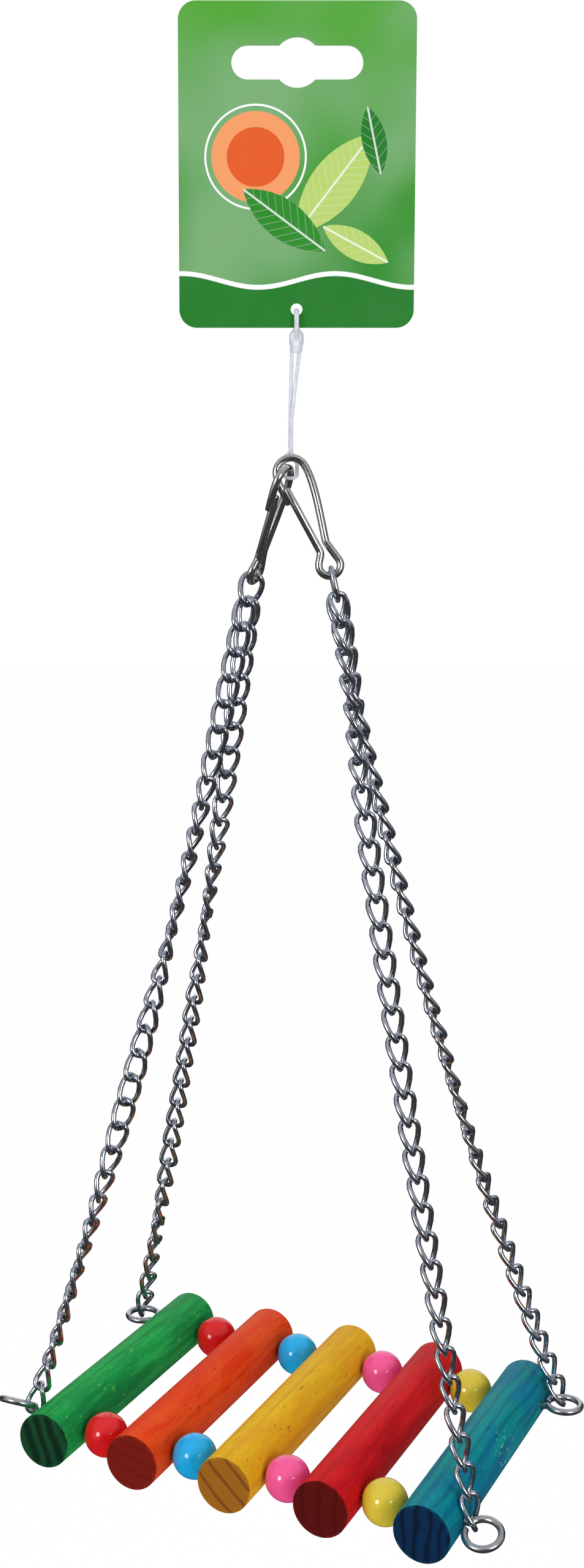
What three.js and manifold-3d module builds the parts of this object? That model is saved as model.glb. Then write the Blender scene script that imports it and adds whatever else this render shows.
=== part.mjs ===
// Wooden bird hanging bridge, as it hangs from its header card: dyed rungs and beads on two wires,
// four curb chains, two one-piece wire snap hooks, a plastic tag loop and the card.
// Millimetres, +Z up. The origin is where a display peg carries the card, at the top of its slot.
// The card faces -Y. The bridge hangs turned about Z, as a hanging thing turns on its loop.
import * as THREE from 'three';
import { mergeVertices } from 'three/addons/utils/BufferGeometryUtils.js';
import Module from 'manifold-3d';

const wasm = await Module();
wasm.setup();

// Clearances
const SEAT_GAP = 0.3;
const BEAD_END_GAP = 0.1;
const BORE_GAP = 0.3;

// Header card
const CARD_WIDTH = 60;
const CARD_HEIGHT = 80;
const CARD_THICKNESS = 0.6;
const CARD_CORNER = 4.5;
const CARD_TOP_MARGIN = 8.8;
const SLOT_LENGTH = 33.2;
const SLOT_HEIGHT = 8.2;
const SLOT_BULGE = 12.2;
const TAG_HOLE = 3;
const TAG_HOLE_FROM_BOTTOM = 4.6;

// Tag loop
const STRAND = 0.9;
const STRAND_SPREAD = 2.2;
const TAG_HEAD = { width: 3.7, depth: 3.4, height: 3.2, corner: 0.8 };
const TAG_HEAD_DROP = 1.3;
const TAG_LENGTH = 41;
const TAG_PINCH = 5.2;
const TAG_CLEAR_OF_ARCH = 2.4;
const TAG_SIDE_LEAN = 1.4;

// Snap hooks: a straight spine, a round arch over the head, a pinched waist and a small eye
const HOOK_WIRE = 2;
const HOOK_ARCH_RADIUS = 3.9;
const HOOK_SPINE_LENGTH = 19.5;
const HOOK_EYE_RADIUS = 2.8;
const HOOK_EYE_DROP = 6;
const HOOK_EYE_SHIFT = 0.6;
const HOOK_WAIST_GAP = 0.4;
const HOOK_NOSE_LENGTH = 8;
const HOOK_NOSE_TURN = 13;
const HOOK_GATE_TIP_BELOW_ARCH = 4;
const RIGHT_HOOK = { turn: 0, tilt: 15.2, lean: -6.3, gateAside: 2.1 };
const LEFT_HOOK = { turn: 66, tilt: 4, lean: 23, gateAside: 0 };
const HOOK_CROSSING = 38;
const TAG_ON_ARCH = 52;

// Curb chain links
const LINK_WIRE = 1.5;
const LINK_PITCH = 7.095;
const LINK_HALF_WIDTH = 2.5;
const LINK_END_HALF = 1.3;
const LINK_SHOULDER = 1.5;
const LINK_TWIST = -45;
const LINK_WELD = 0.1;
const LINKS_PER_CHAIN = 33;
const TOP_LINK_LENGTH = 7;
const TOP_LINK_HALF_WIDTH = 2.9;
const TOP_LINK_END_HALF = 2;
const FIRST_LINK_OFFSET = 1.3;
const TOP_LINK_TWIST = { left: LINK_TWIST, right: 0 };
const CHAIN_LAY = {
  front_left: { rolls: [28, 42, 90, 109, 165, 215, 270, 298, 365], sag: 0.05 },
  front_right: { rolls: [18, 60, 42, 32, 35, 38, 42, 46, 50], sag: 0.06 },
  back_left: { rolls: [30, 38, 65, 107, 147, 150, 160, 108, 75], sag: 0.035 },
  back_right: { rolls: [8, 88, 104, 103, 98, 86, 66, 52, 40], sag: 0.08 },
};

// Ladder: rungs along Y, wires along X before the ladder is turned
const BRIDGE_TURN = -25.4;
const RUNG_COUNT = 5;
const RUNG_DIAMETER = 15;
const RUNG_LENGTH = 88;
const BEAD_DIAMETER = 11.9;
const WIRE = 1.8;
const WIRE_SPACING = 67;
const EYE_RADIUS = 4.6;
const EYE_OFFSET = 2.4;
const EYE_END_GAP = 0.8;
const EYE_ROLL = { front_left: 30, front_right: -20, back_left: 0, back_right: 0 };
const EYE_LIFT = { front_left: 3.4, front_right: 0, back_left: 1.2, back_right: 0.4 };
const EYE_SEAT_ANGLE = { front_left: -130, front_right: -138, back_left: 60, back_right: 115 };

// Facets
const WIRE_SIDES = 8;
const STRAND_SIDES = 6;
const RUNG_SIDES = 24;
const BORE_SIDES = 8;
const BEAD_SIDES = 12;
const BEAD_ARC_STEPS = 7;
const ARC_STEP = 30;

const UP = new THREE.Vector3(0, 0, 1);
const rad = THREE.MathUtils.degToRad;
const vec = (x, y, z) => new THREE.Vector3(x, y, z);
const along = (point, direction, distance) => point.clone().addScaledVector(direction, distance);

function paint(color, roughness, metalness) {
  return new THREE.MeshStandardMaterial({ color, roughness, metalness });
}

const FINISH = {
  card: () => paint(0x5f9c2f, 0.45, 0),
  tag: () => paint(0xd9dbe4, 0.35, 0),
  hook: () => paint(0xb9b7ae, 0.22, 1),
  chain: () => paint(0xc4c6cc, 0.18, 1),
  wire: () => paint(0x8f9295, 0.42, 1),
};
const RUNGS = [
  { name: 'rung_green', color: 0x1e9646 },
  { name: 'rung_orange', color: 0xd73c19 },
  { name: 'rung_yellow', color: 0xc89b1e },
  { name: 'rung_red', color: 0xb91923 },
  { name: 'rung_blue', color: 0x0f7d9b },
];
const BEADS = [
  { name: 'red', color: 0xd71e23 },
  { name: 'blue', color: 0x1eaae6 },
  { name: 'pink', color: 0xf05fa0 },
  { name: 'yellow', color: 0xd7c346 },
];

// Closed bodies and booleans

function toSolid(geometry) {
  const bare = geometry.clone();
  bare.deleteAttribute('normal');
  bare.deleteAttribute('uv');
  const merged = mergeVertices(bare, 1e-4);
  return new wasm.Manifold(new wasm.Mesh({
    numProp: 3,
    vertProperties: new Float32Array(merged.attributes.position.array),
    triVerts: new Uint32Array(merged.index.array),
  }));
}

function toGeometry(solid) {
  const mesh = solid.getMesh();
  const geometry = new THREE.BufferGeometry();
  geometry.setAttribute('position', new THREE.BufferAttribute(mesh.vertProperties, 3));
  geometry.setIndex(new THREE.BufferAttribute(mesh.triVerts, 1));
  geometry.computeVertexNormals();
  return geometry;
}

function join(geometries) {
  const [first, ...rest] = geometries.map(toSolid);
  return toGeometry(rest.reduce((solid, next) => solid.add(next), first));
}

function cut(geometry, tools) {
  return toGeometry(tools.map(toSolid).reduce((solid, tool) => solid.subtract(tool), toSolid(geometry)));
}

// Skins rings of points into one tube, closed on itself or capped at both ends.
function skinRings(rings, closed) {
  const sides = rings[0].length;
  const positions = rings.flat().flatMap((point) => point.toArray());
  const index = [];
  const spans = closed ? rings.length : rings.length - 1;
  for (let ring = 0; ring < spans; ring += 1) {
    const next = (ring + 1) % rings.length;
    for (let side = 0; side < sides; side += 1) {
      const a = ring * sides + side;
      const b = ring * sides + (side + 1) % sides;
      const c = next * sides + (side + 1) % sides;
      const d = next * sides + side;
      index.push(a, b, c, a, c, d);
    }
  }
  if (!closed) {
    const last = (rings.length - 1) * sides;
    for (let side = 1; side < sides - 1; side += 1) {
      index.push(0, side + 1, side);
      index.push(last, last + side, last + side + 1);
    }
  }
  const geometry = new THREE.BufferGeometry();
  geometry.setAttribute('position', new THREE.Float32BufferAttribute(positions, 3));
  geometry.setIndex(index);
  geometry.computeVertexNormals();
  return geometry;
}

// Round wire along an open run of points, its section carried along without twist.
function roundWire(points, diameter, sides) {
  const tangents = points.map((point, i) => {
    const before = points[Math.max(i - 1, 0)];
    const after = points[Math.min(i + 1, points.length - 1)];
    const tangent = vec(0, 0, 0);
    if (i > 0) tangent.add(point.clone().sub(before).normalize());
    if (i < points.length - 1) tangent.add(after.clone().sub(point).normalize());
    return tangent.normalize();
  });
  const start = tangents[0];
  let normal = Math.abs(start.z) < 0.9 ? UP.clone() : vec(0, 1, 0);
  const rings = points.map((point, i) => {
    normal = along(normal, tangents[i], -normal.dot(tangents[i])).normalize();
    const across = tangents[i].clone().cross(normal);
    return Array.from({ length: sides }, (_, side) => {
      const angle = (2 * Math.PI * (side + 0.5)) / sides;
      const rim = along(point, normal, (Math.cos(angle) * diameter) / 2);
      return along(rim, across, (Math.sin(angle) * diameter) / 2);
    });
  });
  return skinRings(rings, false);
}

// Points on an arc in the plane of two unit directions, from one angle to another, in degrees.
function arcPoints(centre, radius, right, upward, from, to) {
  const steps = Math.max(2, Math.ceil(Math.abs(to - from) / ARC_STEP));
  return Array.from({ length: steps + 1 }, (_, i) => {
    const angle = rad(from + ((to - from) * i) / steps);
    return along(along(centre, right, radius * Math.cos(angle)), upward, radius * Math.sin(angle));
  });
}

const bridge = new THREE.Group();

function place(name, geometry, material, parent = bridge) {
  const mesh = new THREE.Mesh(geometry, material);
  mesh.name = name;
  parent.add(mesh);
  return mesh;
}

// Header card: rounded sheet, a peg slot with a round bulge, and the hole of the tag loop

const slotCentreZ = -SLOT_BULGE / 2;
const cardTop = CARD_TOP_MARGIN;
const cardBottom = cardTop - CARD_HEIGHT;
const tagHoleZ = cardBottom + TAG_HOLE_FROM_BOTTOM;

function cardOutline() {
  const half = CARD_WIDTH / 2;
  const inner = half - CARD_CORNER;
  const outline = new THREE.Shape();
  outline.absarc(inner, cardBottom + CARD_CORNER, CARD_CORNER, rad(-90), 0, false);
  outline.absarc(inner, cardTop - CARD_CORNER, CARD_CORNER, 0, rad(90), false);
  outline.absarc(-inner, cardTop - CARD_CORNER, CARD_CORNER, rad(90), rad(180), false);
  outline.absarc(-inner, cardBottom + CARD_CORNER, CARD_CORNER, rad(180), rad(270), false);
  outline.closePath();
  return outline;
}

function pegSlot() {
  const endRadius = SLOT_HEIGHT / 2;
  const endX = SLOT_LENGTH / 2 - endRadius;
  const bulgeAngle = Math.asin(SLOT_HEIGHT / SLOT_BULGE);
  const slot = new THREE.Path();
  slot.absarc(endX, slotCentreZ, endRadius, rad(-90), rad(90), false);
  slot.absarc(0, slotCentreZ, SLOT_BULGE / 2, bulgeAngle, Math.PI - bulgeAngle, false);
  slot.absarc(-endX, slotCentreZ, endRadius, rad(90), rad(270), false);
  slot.absarc(0, slotCentreZ, SLOT_BULGE / 2, Math.PI + bulgeAngle, 2 * Math.PI - bulgeAngle, false);
  slot.closePath();
  return slot;
}

function headerCard() {
  const outline = cardOutline();
  const tagHole = new THREE.Path();
  tagHole.absarc(0, tagHoleZ, TAG_HOLE / 2, 0, 2 * Math.PI, false);
  outline.holes.push(pegSlot(), tagHole);
  const sheet = new THREE.ExtrudeGeometry(outline, {
    depth: CARD_THICKNESS,
    bevelEnabled: false,
    curveSegments: 5,
  });
  sheet.rotateX(rad(90));
  sheet.translate(0, CARD_THICKNESS / 2, 0);
  return sheet;
}

place('header_card', headerCard(), FINISH.card());

// Snap hooks. Local X runs from the gate side to the spine, local Z is up, the arch centre is the origin.

const spineX = HOOK_ARCH_RADIUS;
const noseX = -HOOK_ARCH_RADIUS;
const waistZ = -HOOK_SPINE_LENGTH;
const gateRoot = vec(spineX - HOOK_WIRE - HOOK_WAIST_GAP, 0, waistZ - HOOK_WAIST_GAP);
const eyeCentre = vec((spineX + gateRoot.x) / 2 + HOOK_EYE_SHIFT, 0, waistZ - HOOK_EYE_DROP);
const eyeBottom = along(eyeCentre, UP, -HOOK_EYE_RADIUS);
const noseBend = vec(noseX, 0, -HOOK_GATE_TIP_BELOW_ARCH / 2);
const noseDirection = vec(Math.sin(rad(HOOK_NOSE_TURN)), 0, -Math.cos(rad(HOOK_NOSE_TURN)));
const noseInward = vec(-noseDirection.z, 0, noseDirection.x);
const localX = vec(1, 0, 0);

// The gate's tip rests on the inner side of the nose, or beside it where the gate is bent aside.
function gateTip({ gateAside }) {
  const nosePoint = along(noseBend, noseDirection, HOOK_GATE_TIP_BELOW_ARCH / 2);
  const inward = Math.sqrt((HOOK_WIRE + SEAT_GAP) ** 2 - gateAside ** 2);
  return along(nosePoint, noseInward, inward).add(vec(0, -gateAside, 0));
}

function hookBody(hook) {
  const gateDirection = gateTip(hook).sub(gateRoot).normalize();
  const points = [
    along(noseBend, noseDirection, HOOK_NOSE_LENGTH - HOOK_GATE_TIP_BELOW_ARCH / 2),
    noseBend,
    ...arcPoints(vec(0, 0, 0), HOOK_ARCH_RADIUS, localX, UP, 180, 0),
    vec(spineX, 0, waistZ),
    ...arcPoints(eyeCentre, HOOK_EYE_RADIUS, localX, UP, 25, -205),
    along(gateRoot, gateDirection, -HOOK_WIRE),
    along(gateRoot, gateDirection, -SEAT_GAP),
  ];
  return roundWire(points, HOOK_WIRE, WIRE_SIDES);
}

function hookGate(hook) {
  return roundWire([gateRoot, gateTip(hook)], HOOK_WIRE, WIRE_SIDES);
}

function hookTurn({ turn, tilt, lean }) {
  const matrix = new THREE.Matrix4().makeRotationZ(rad(turn));
  matrix.multiply(new THREE.Matrix4().makeRotationX(rad(lean)));
  return matrix.multiply(new THREE.Matrix4().makeRotationY(rad(-tilt)));
}

// The left hook's arch crosses inside the right hook's arch; the tag loop goes round the left arch behind it.
const rightTurn = hookTurn(RIGHT_HOOK);
const leftTurn = hookTurn(LEFT_HOOK);
const crossing = HOOK_ARCH_RADIUS - HOOK_WIRE - SEAT_GAP;
const leftCrest = vec(-Math.sin(rad(HOOK_CROSSING)), 0, Math.cos(rad(HOOK_CROSSING))).multiplyScalar(crossing);
const crestFromArch = vec(0, 0, HOOK_ARCH_RADIUS).applyMatrix4(leftTurn);
const leftArch = leftCrest.clone().sub(crestFromArch);
const tagAngle = rad(TAG_ON_ARCH);
const tagOutward = vec(Math.sin(tagAngle), 0, Math.cos(tagAngle)).applyMatrix4(leftTurn);
const tagAcross = vec(0, 1, 0).applyMatrix4(leftTurn);
const tagPoint = along(leftArch, tagOutward, HOOK_ARCH_RADIUS);

const tagPivot = vec(0, 0, tagHoleZ - TAG_HOLE / 2 + SEAT_GAP + STRAND);
const tagSeatRadius = HOOK_WIRE / 2 + SEAT_GAP + STRAND / 2;
const tagSeat = vec(-TAG_SIDE_LEAN, 0, tagPivot.z - TAG_LENGTH);
const hooksOrigin = tagSeat.clone().sub(tagPoint);

function hookGroup(side, hook, archCentre, turnMatrix) {
  const group = new THREE.Group();
  group.position.copy(hooksOrigin).add(archCentre);
  group.setRotationFromMatrix(turnMatrix);
  bridge.add(group);
  place(`hook_${side}`, hookBody(hook), FINISH.hook(), group);
  place(`hook_${side}_gate`, hookGate(hook), FINISH.hook(), group);
  group.updateMatrixWorld(true);
  return {
    eye: eyeBottom.clone().applyMatrix4(group.matrixWorld),
    eyeAlong: localX.clone().applyMatrix4(turnMatrix),
    gateRoot: gateRoot.clone().applyMatrix4(group.matrixWorld),
    gateAxis: vec(0, 1, 0).applyMatrix4(turnMatrix),
  };
}

const hooks = {
  right: hookGroup('right', RIGHT_HOOK, vec(0, 0, 0), rightTurn),
  left: hookGroup('left', LEFT_HOOK, leftArch, leftTurn),
};

// Tag loop: a strap through the card's hole, a lock head, and two strands round the left hook's arch

function tagLoop() {
  const strapY = CARD_THICKNESS / 2 + SEAT_GAP + STRAND;
  const headTop = cardBottom - TAG_HEAD_DROP;
  const headMiddle = headTop - TAG_HEAD.height / 2;
  const forward = vec(0, -1, 0);
  const strapBend = along(tagPivot, UP, -strapY);
  const strap = roundWire([
    vec(0, -strapY, headMiddle),
    ...arcPoints(strapBend, strapY, forward, UP, 0, 180),
    vec(0, strapY, headMiddle),
  ], STRAND, STRAND_SIDES);

  const halfSpread = STRAND_SPREAD / 2;
  const straightTop = along(tagSeat, UP, TAG_LENGTH / 3);
  const pinch = along(tagSeat, UP, TAG_PINCH);
  const pinchWay = vec(0.25, -0.9, 0);
  const beside = along(tagSeat, UP, TAG_CLEAR_OF_ARCH);
  const strands = roundWire([
    vec(halfSpread, 0, headMiddle),
    along(straightTop, pinchWay, halfSpread / 2),
    along(pinch, pinchWay, halfSpread / 2),
    along(beside, tagAcross, -tagSeatRadius),
    ...arcPoints(tagSeat, tagSeatRadius, tagAcross, tagOutward, 180, 360),
    along(beside, tagAcross, tagSeatRadius),
    along(pinch, pinchWay, -halfSpread / 2),
    along(straightTop, pinchWay, -halfSpread / 2),
    vec(-halfSpread, 0, headMiddle),
  ], STRAND, STRAND_SIDES);

  const { width, depth, height, corner } = TAG_HEAD;
  const plan = new THREE.Shape();
  plan.absarc(width / 2 - corner, corner - depth / 2, corner, rad(-90), 0, false);
  plan.absarc(width / 2 - corner, depth / 2 - corner, corner, 0, rad(90), false);
  plan.absarc(corner - width / 2, depth / 2 - corner, corner, rad(90), rad(180), false);
  plan.absarc(corner - width / 2, corner - depth / 2, corner, rad(180), rad(270), false);
  const head = new THREE.ExtrudeGeometry(plan, { depth: height, bevelEnabled: false, curveSegments: 3 });
  head.translate(0, 0, headTop - height);
  return join([head, strap, strands]);
}

place('tag_loop', tagLoop(), FINISH.tag());

// Ladder

const rungPitch = RUNG_DIAMETER + BEAD_DIAMETER + 2 * BEAD_END_GAP;
const ladderEnd = ((RUNG_COUNT - 1) * rungPitch + RUNG_DIAMETER) / 2;
const wireY = WIRE_SPACING / 2;
const eyeOpening = THREE.MathUtils.radToDeg(Math.asin(EYE_OFFSET / EYE_RADIUS));
const eyeX = ladderEnd + EYE_END_GAP + WIRE / 2 + EYE_RADIUS * Math.cos(rad(eyeOpening));
const CORNERS = [
  { name: 'front_left', hook: 'left', x: -1, y: -1 },
  { name: 'front_right', hook: 'right', x: 1, y: -1 },
  { name: 'back_left', hook: 'left', x: -1, y: 1 },
  { name: 'back_right', hook: 'right', x: 1, y: 1 },
];
const turned = (point) => point.applyAxisAngle(UP, rad(BRIDGE_TURN));

// Where a chain's last link rests on the eye of its corner, from the middle of the ladder.
function eyeSeat({ name, x, y }) {
  const angle = rad(EYE_SEAT_ANGLE[name]);
  const roll = rad(EYE_ROLL[name]);
  const outward = EYE_OFFSET + EYE_RADIUS * Math.sin(angle);
  const seatX = eyeX + EYE_RADIUS * Math.cos(angle);
  const seatZ = EYE_LIFT[name] + outward * Math.sin(roll);
  return turned(vec(x * seatX, y * (wireY + outward * Math.cos(roll)), seatZ));
}

// The ladder hangs where chains of the nominal pitch let it.
function ladderHeight() {
  const chainLength = LINKS_PER_CHAIN * LINK_PITCH + TOP_LINK_LENGTH - HOOK_WIRE / 2 - WIRE / 2;
  const drops = CORNERS.map((corner) => {
    const eye = hooks[corner.hook].eye;
    const seat = eyeSeat(corner);
    return eye.z - seat.z - Math.sqrt(chainLength ** 2 - (seat.x - eye.x) ** 2 - (seat.y - eye.y) ** 2);
  });
  return drops.reduce((sum, drop) => sum + drop, 0) / drops.length;
}

const ladderZ = ladderHeight();
const ladder = new THREE.Group();
ladder.position.set(0, 0, ladderZ);
ladder.rotation.z = rad(BRIDGE_TURN);
bridge.add(ladder);

function rung(x) {
  const dowel = new THREE.CylinderGeometry(RUNG_DIAMETER / 2, RUNG_DIAMETER / 2, RUNG_LENGTH, RUNG_SIDES);
  const boreRadius = WIRE / 2 + BORE_GAP;
  const bores = [-wireY, wireY].map((y) => {
    const drill = new THREE.CylinderGeometry(boreRadius, boreRadius, RUNG_DIAMETER + 2, BORE_SIDES);
    return drill.rotateZ(rad(90)).translate(0, y, 0);
  });
  return cut(dowel, bores).translate(x, 0, 0);
}

function bead() {
  const radius = BEAD_DIAMETER / 2;
  const boreRadius = WIRE / 2 + BORE_GAP;
  const boreAngle = Math.asin(boreRadius / radius);
  const profile = Array.from({ length: BEAD_ARC_STEPS + 1 }, (_, i) => {
    const angle = boreAngle + ((Math.PI - 2 * boreAngle) * i) / BEAD_ARC_STEPS;
    return new THREE.Vector2(radius * Math.sin(angle), -radius * Math.cos(angle));
  });
  profile.push(profile[0].clone());
  return new THREE.LatheGeometry(profile, BEAD_SIDES).rotateZ(rad(-90));
}

// One wire: an open eye bent outwards at each end, its cut end stopping short of the end rung.
function ladderWire(side, ySign) {
  const y = ySign * wireY;
  const eye = (xSign) => {
    const name = `${side}_${xSign < 0 ? 'left' : 'right'}`;
    const roll = rad(EYE_ROLL[name]);
    const outward = vec(0, ySign * Math.cos(roll), Math.sin(roll));
    const centre = along(vec(xSign * eyeX, y, EYE_LIFT[name]), outward, EYE_OFFSET);
    const end = 180 - eyeOpening;
    const exit = vec(xSign * (ladderEnd + EYE_END_GAP / 2), y, 0);
    return [exit, ...arcPoints(centre, EYE_RADIUS, vec(xSign, 0, 0), outward, -end, end)];
  };
  return roundWire([...eye(-1).reverse(), ...eye(1)], WIRE, WIRE_SIDES);
}

const rungX = (i) => (i - (RUNG_COUNT - 1) / 2) * rungPitch;
RUNGS.forEach(({ name, color }, i) => {
  place(name, rung(rungX(i)), paint(color, 0.6, 0), ladder);
});
for (const [side, ySign] of [['front', -1], ['back', 1]]) {
  place(`wire_${side}`, ladderWire(side, ySign), FINISH.wire(), ladder);
  BEADS.forEach(({ name, color }, gap) => {
    const ball = place(`bead_${side}_${name}`, bead(), paint(color, 0.15, 0), ladder);
    ball.position.set(rungX(gap) + rungPitch / 2, ySign * wireY, 0);
  });
}

// Curb chains. A link is a flat-ended ring whose two ends are turned a quarter against each other.
// The links of a run face as they hang: each run starts square to its top link and rolls on its way down.

function linkGeometry(innerLength, halfWidth, endHalf, twist) {
  const halfLength = (innerLength + LINK_WIRE) / 2;
  const shoulder = halfLength - LINK_SHOULDER;
  const outline = [
    [endHalf, halfLength], [-endHalf, halfLength], [-halfWidth, shoulder], [-halfWidth, -shoulder],
    [-endHalf, -halfLength], [endHalf, -halfLength], [halfWidth, -shoulder], [halfWidth, shoulder],
  ];
  const flat = outline.map(([x, z]) => vec(x, 0, z));
  const rings = flat.map((point, i) => {
    const before = flat[(i + flat.length - 1) % flat.length];
    const after = flat[(i + 1) % flat.length];
    const inbound = point.clone().sub(before).normalize();
    const outbound = after.clone().sub(point).normalize();
    const tangent = inbound.clone().add(outbound).normalize();
    const outward = vec(tangent.z, 0, -tangent.x);
    const mitre = LINK_WIRE / 2 / tangent.dot(inbound);
    const ridges = [[1, 0], [0, 1], [-1, 0], [0, -1]];
    return ridges.map(([out, face]) => {
      const rim = along(point, outward, out * mitre).add(vec(0, (face * LINK_WIRE) / 2, 0));
      const clamped = THREE.MathUtils.clamp(rim.z / halfLength, -1, 1);
      return rim.applyAxisAngle(UP, rad(twist * clamped));
    });
  });
  return skinRings(rings, true);
}

// Places a link with its inner top at a point, its axis along a direction and its middle's width along another.
function linkMatrix(innerTop, down, middleAlong, innerLength, roll) {
  const up = down.clone().negate();
  const x = middleAlong.clone().applyAxisAngle(up, rad(roll));
  const y = up.clone().cross(x);
  const centre = along(innerTop, down, innerLength / 2);
  return new THREE.Matrix4().makeBasis(x, y, up).setPosition(centre);
}

function topLink(side) {
  const { eye, eyeAlong } = hooks[side];
  const seats = CORNERS.filter((corner) => corner.hook === side).map(eyeSeat);
  const aim = seats[0].add(seats[1]).multiplyScalar(0.5).setZ(ladderZ);
  const down = aim.sub(eye).normalize();
  const up = down.clone().negate();
  const twist = TOP_LINK_TWIST[side];
  const middleAlong = eyeAlong.clone().cross(down).normalize().applyAxisAngle(up, rad(-twist));
  const innerTop = along(eye, down, -(HOOK_WIRE / 2 + SEAT_GAP));
  const ring = linkGeometry(TOP_LINK_LENGTH, TOP_LINK_HALF_WIDTH, TOP_LINK_END_HALF, twist);
  ring.applyMatrix4(linkMatrix(innerTop, down, middleAlong, TOP_LINK_LENGTH, 0));
  place(`top_link_${side}`, ring, FINISH.chain());
  return {
    pivot: along(innerTop, down, -LINK_WIRE / 2),
    seat: along(innerTop, down, TOP_LINK_LENGTH),
    bottomAlong: middleAlong.clone().applyAxisAngle(up, rad(-twist)),
  };
}

// A leaning chain sags under its own weight, square to its run, by a share of how far it leans.
class HangingRun extends THREE.Curve {
  constructor(top, bottom, slack) {
    super();
    this.top = top;
    this.bottom = bottom;
    const span = bottom.clone().sub(top);
    const down = span.clone().normalize();
    this.sagWay = along(UP, down, -UP.dot(down)).negate().normalize();
    this.sag = slack * Math.hypot(span.x, span.y);
  }

  getPoint(t) {
    const chord = this.top.clone().lerp(this.bottom, t);
    return chord.addScaledVector(this.sagWay, 4 * this.sag * t * (1 - t));
  }
}

// The rolls of a run are given at equal steps on its way down.
function rollAt(rolls, share) {
  const step = share * (rolls.length - 1);
  const before = Math.min(Math.floor(step), rolls.length - 2);
  return THREE.MathUtils.lerp(rolls[before], rolls[before + 1], step - before);
}

function chain(corner, top) {
  const seat = along(eyeSeat(corner), UP, ladderZ);
  const outwardSign = Math.sign(top.bottomAlong.dot(seat.clone().sub(top.seat).setZ(0)));
  const start = along(top.seat, top.bottomAlong, outwardSign * FIRST_LINK_OFFSET);
  const down = seat.clone().sub(start).normalize();
  const innerTop = along(start, down, -SEAT_GAP);
  const innerBottom = along(seat, down, WIRE / 2 + SEAT_GAP);
  const lay = CHAIN_LAY[corner.name];
  const run = new HangingRun(innerTop, innerBottom, lay.sag);
  const pitch = (run.getLength() + LINK_WELD) / LINKS_PER_CHAIN;
  const innerLength = pitch - LINK_WELD;
  const middleAlong = top.bottomAlong.clone().cross(down).normalize();
  const seams = run.getSpacedPoints(LINKS_PER_CHAIN);
  const links = Array.from({ length: LINKS_PER_CHAIN }, (_, i) => {
    const roll = rollAt(lay.rolls, i / (LINKS_PER_CHAIN - 1));
    const linkDown = seams[i + 1].clone().sub(seams[i]).normalize();
    const linkMiddle = along(middleAlong, linkDown, -middleAlong.dot(linkDown)).normalize();
    const matrix = linkMatrix(seams[i], linkDown, linkMiddle, innerLength, roll);
    const link = linkGeometry(innerLength, LINK_HALF_WIDTH, LINK_END_HALF, LINK_TWIST);
    return link.applyMatrix4(matrix);
  });
  place(`chain_${corner.name}`, join(links), FINISH.chain());
}

const topLinks = { left: topLink('left'), right: topLink('right') };
CORNERS.forEach((corner) => chain(corner, topLinks[corner.hook]));

// Joint axes and seats, for whoever rigs the part
bridge.userData.axes = {
  tagPivot,
  tagSeat,
  tagSeatAlong: tagOutward.clone().cross(tagAcross),
  hooks,
  ladderPivots: [topLinks.left.pivot, topLinks.right.pivot],
  ladderZ,
  rungPitch,
  wireY,
};

export default bridge;
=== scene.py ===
"""Looks of a small hanging bridge for cage birds.

A header card carries a plastic loop, the loop two snap hooks, the hooks four chains, and the
chains a ladder of five dyed dowels on two wires with glossy beads between the dowels. Each piece
is rebuilt finer than its CAD node, in the same frame: +Z is up and the card faces -Y. Sizes here
are millimetres and degrees unless a line says otherwise, and meshes are metres.
"""

from __future__ import annotations

import logging
import math
from dataclasses import dataclass
from enum import Enum
from typing import Optional, Sequence, Union

import bmesh
import bpy
from mathutils import Matrix, Vector

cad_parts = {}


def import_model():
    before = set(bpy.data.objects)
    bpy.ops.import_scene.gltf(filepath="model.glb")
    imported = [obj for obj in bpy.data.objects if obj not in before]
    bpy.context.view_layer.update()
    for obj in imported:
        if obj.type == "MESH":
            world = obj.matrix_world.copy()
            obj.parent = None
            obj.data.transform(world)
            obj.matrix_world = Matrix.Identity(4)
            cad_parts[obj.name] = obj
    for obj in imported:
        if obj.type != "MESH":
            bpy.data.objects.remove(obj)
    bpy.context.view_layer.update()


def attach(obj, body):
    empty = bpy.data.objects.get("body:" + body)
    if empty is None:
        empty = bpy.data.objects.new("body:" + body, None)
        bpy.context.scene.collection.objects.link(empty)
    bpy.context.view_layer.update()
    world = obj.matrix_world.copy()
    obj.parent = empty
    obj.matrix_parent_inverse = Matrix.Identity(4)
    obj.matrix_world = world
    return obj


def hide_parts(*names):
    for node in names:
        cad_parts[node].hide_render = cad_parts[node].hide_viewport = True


LOG = logging.getLogger("hanging_bridge")

Colour = tuple[float, float, float, float]
Triple = tuple[float, float, float]
Pair = tuple[float, float]
Feed = Union[float, Sequence[float], bpy.types.NodeSocket]
Face = tuple[int, ...]
Skin = tuple[list[Vector], list[Face]]

MM = 0.001
RIGHT = Vector((1.0, 0.0, 0.0))
BACK = Vector((0.0, 1.0, 0.0))
UP = Vector((0.0, 0.0, 1.0))
WHITE: Colour = (1.0, 1.0, 1.0, 1.0)
BLACK: Colour = (0.0, 0.0, 0.0, 1.0)
PHOTO_HEIGHT = 2560

BEND_FROM = 14.0  # a path is rounded where it turns by more than this
BEND_STEP = 9.0  # largest angle between two points of a bend
BEND_SHARE = 0.48  # largest share of a straight run that one bend takes up
SAME_POINT = 1e-4  # points of a path closer than this are one point
FLAT_END = 0.01  # least bulge of a wire's end, as a share of its radius
END_ANGLES = (78, 60, 40, 20)  # rings on a wire's rounded end
MERGE_DISTANCE = 1e-7  # in metres


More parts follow.
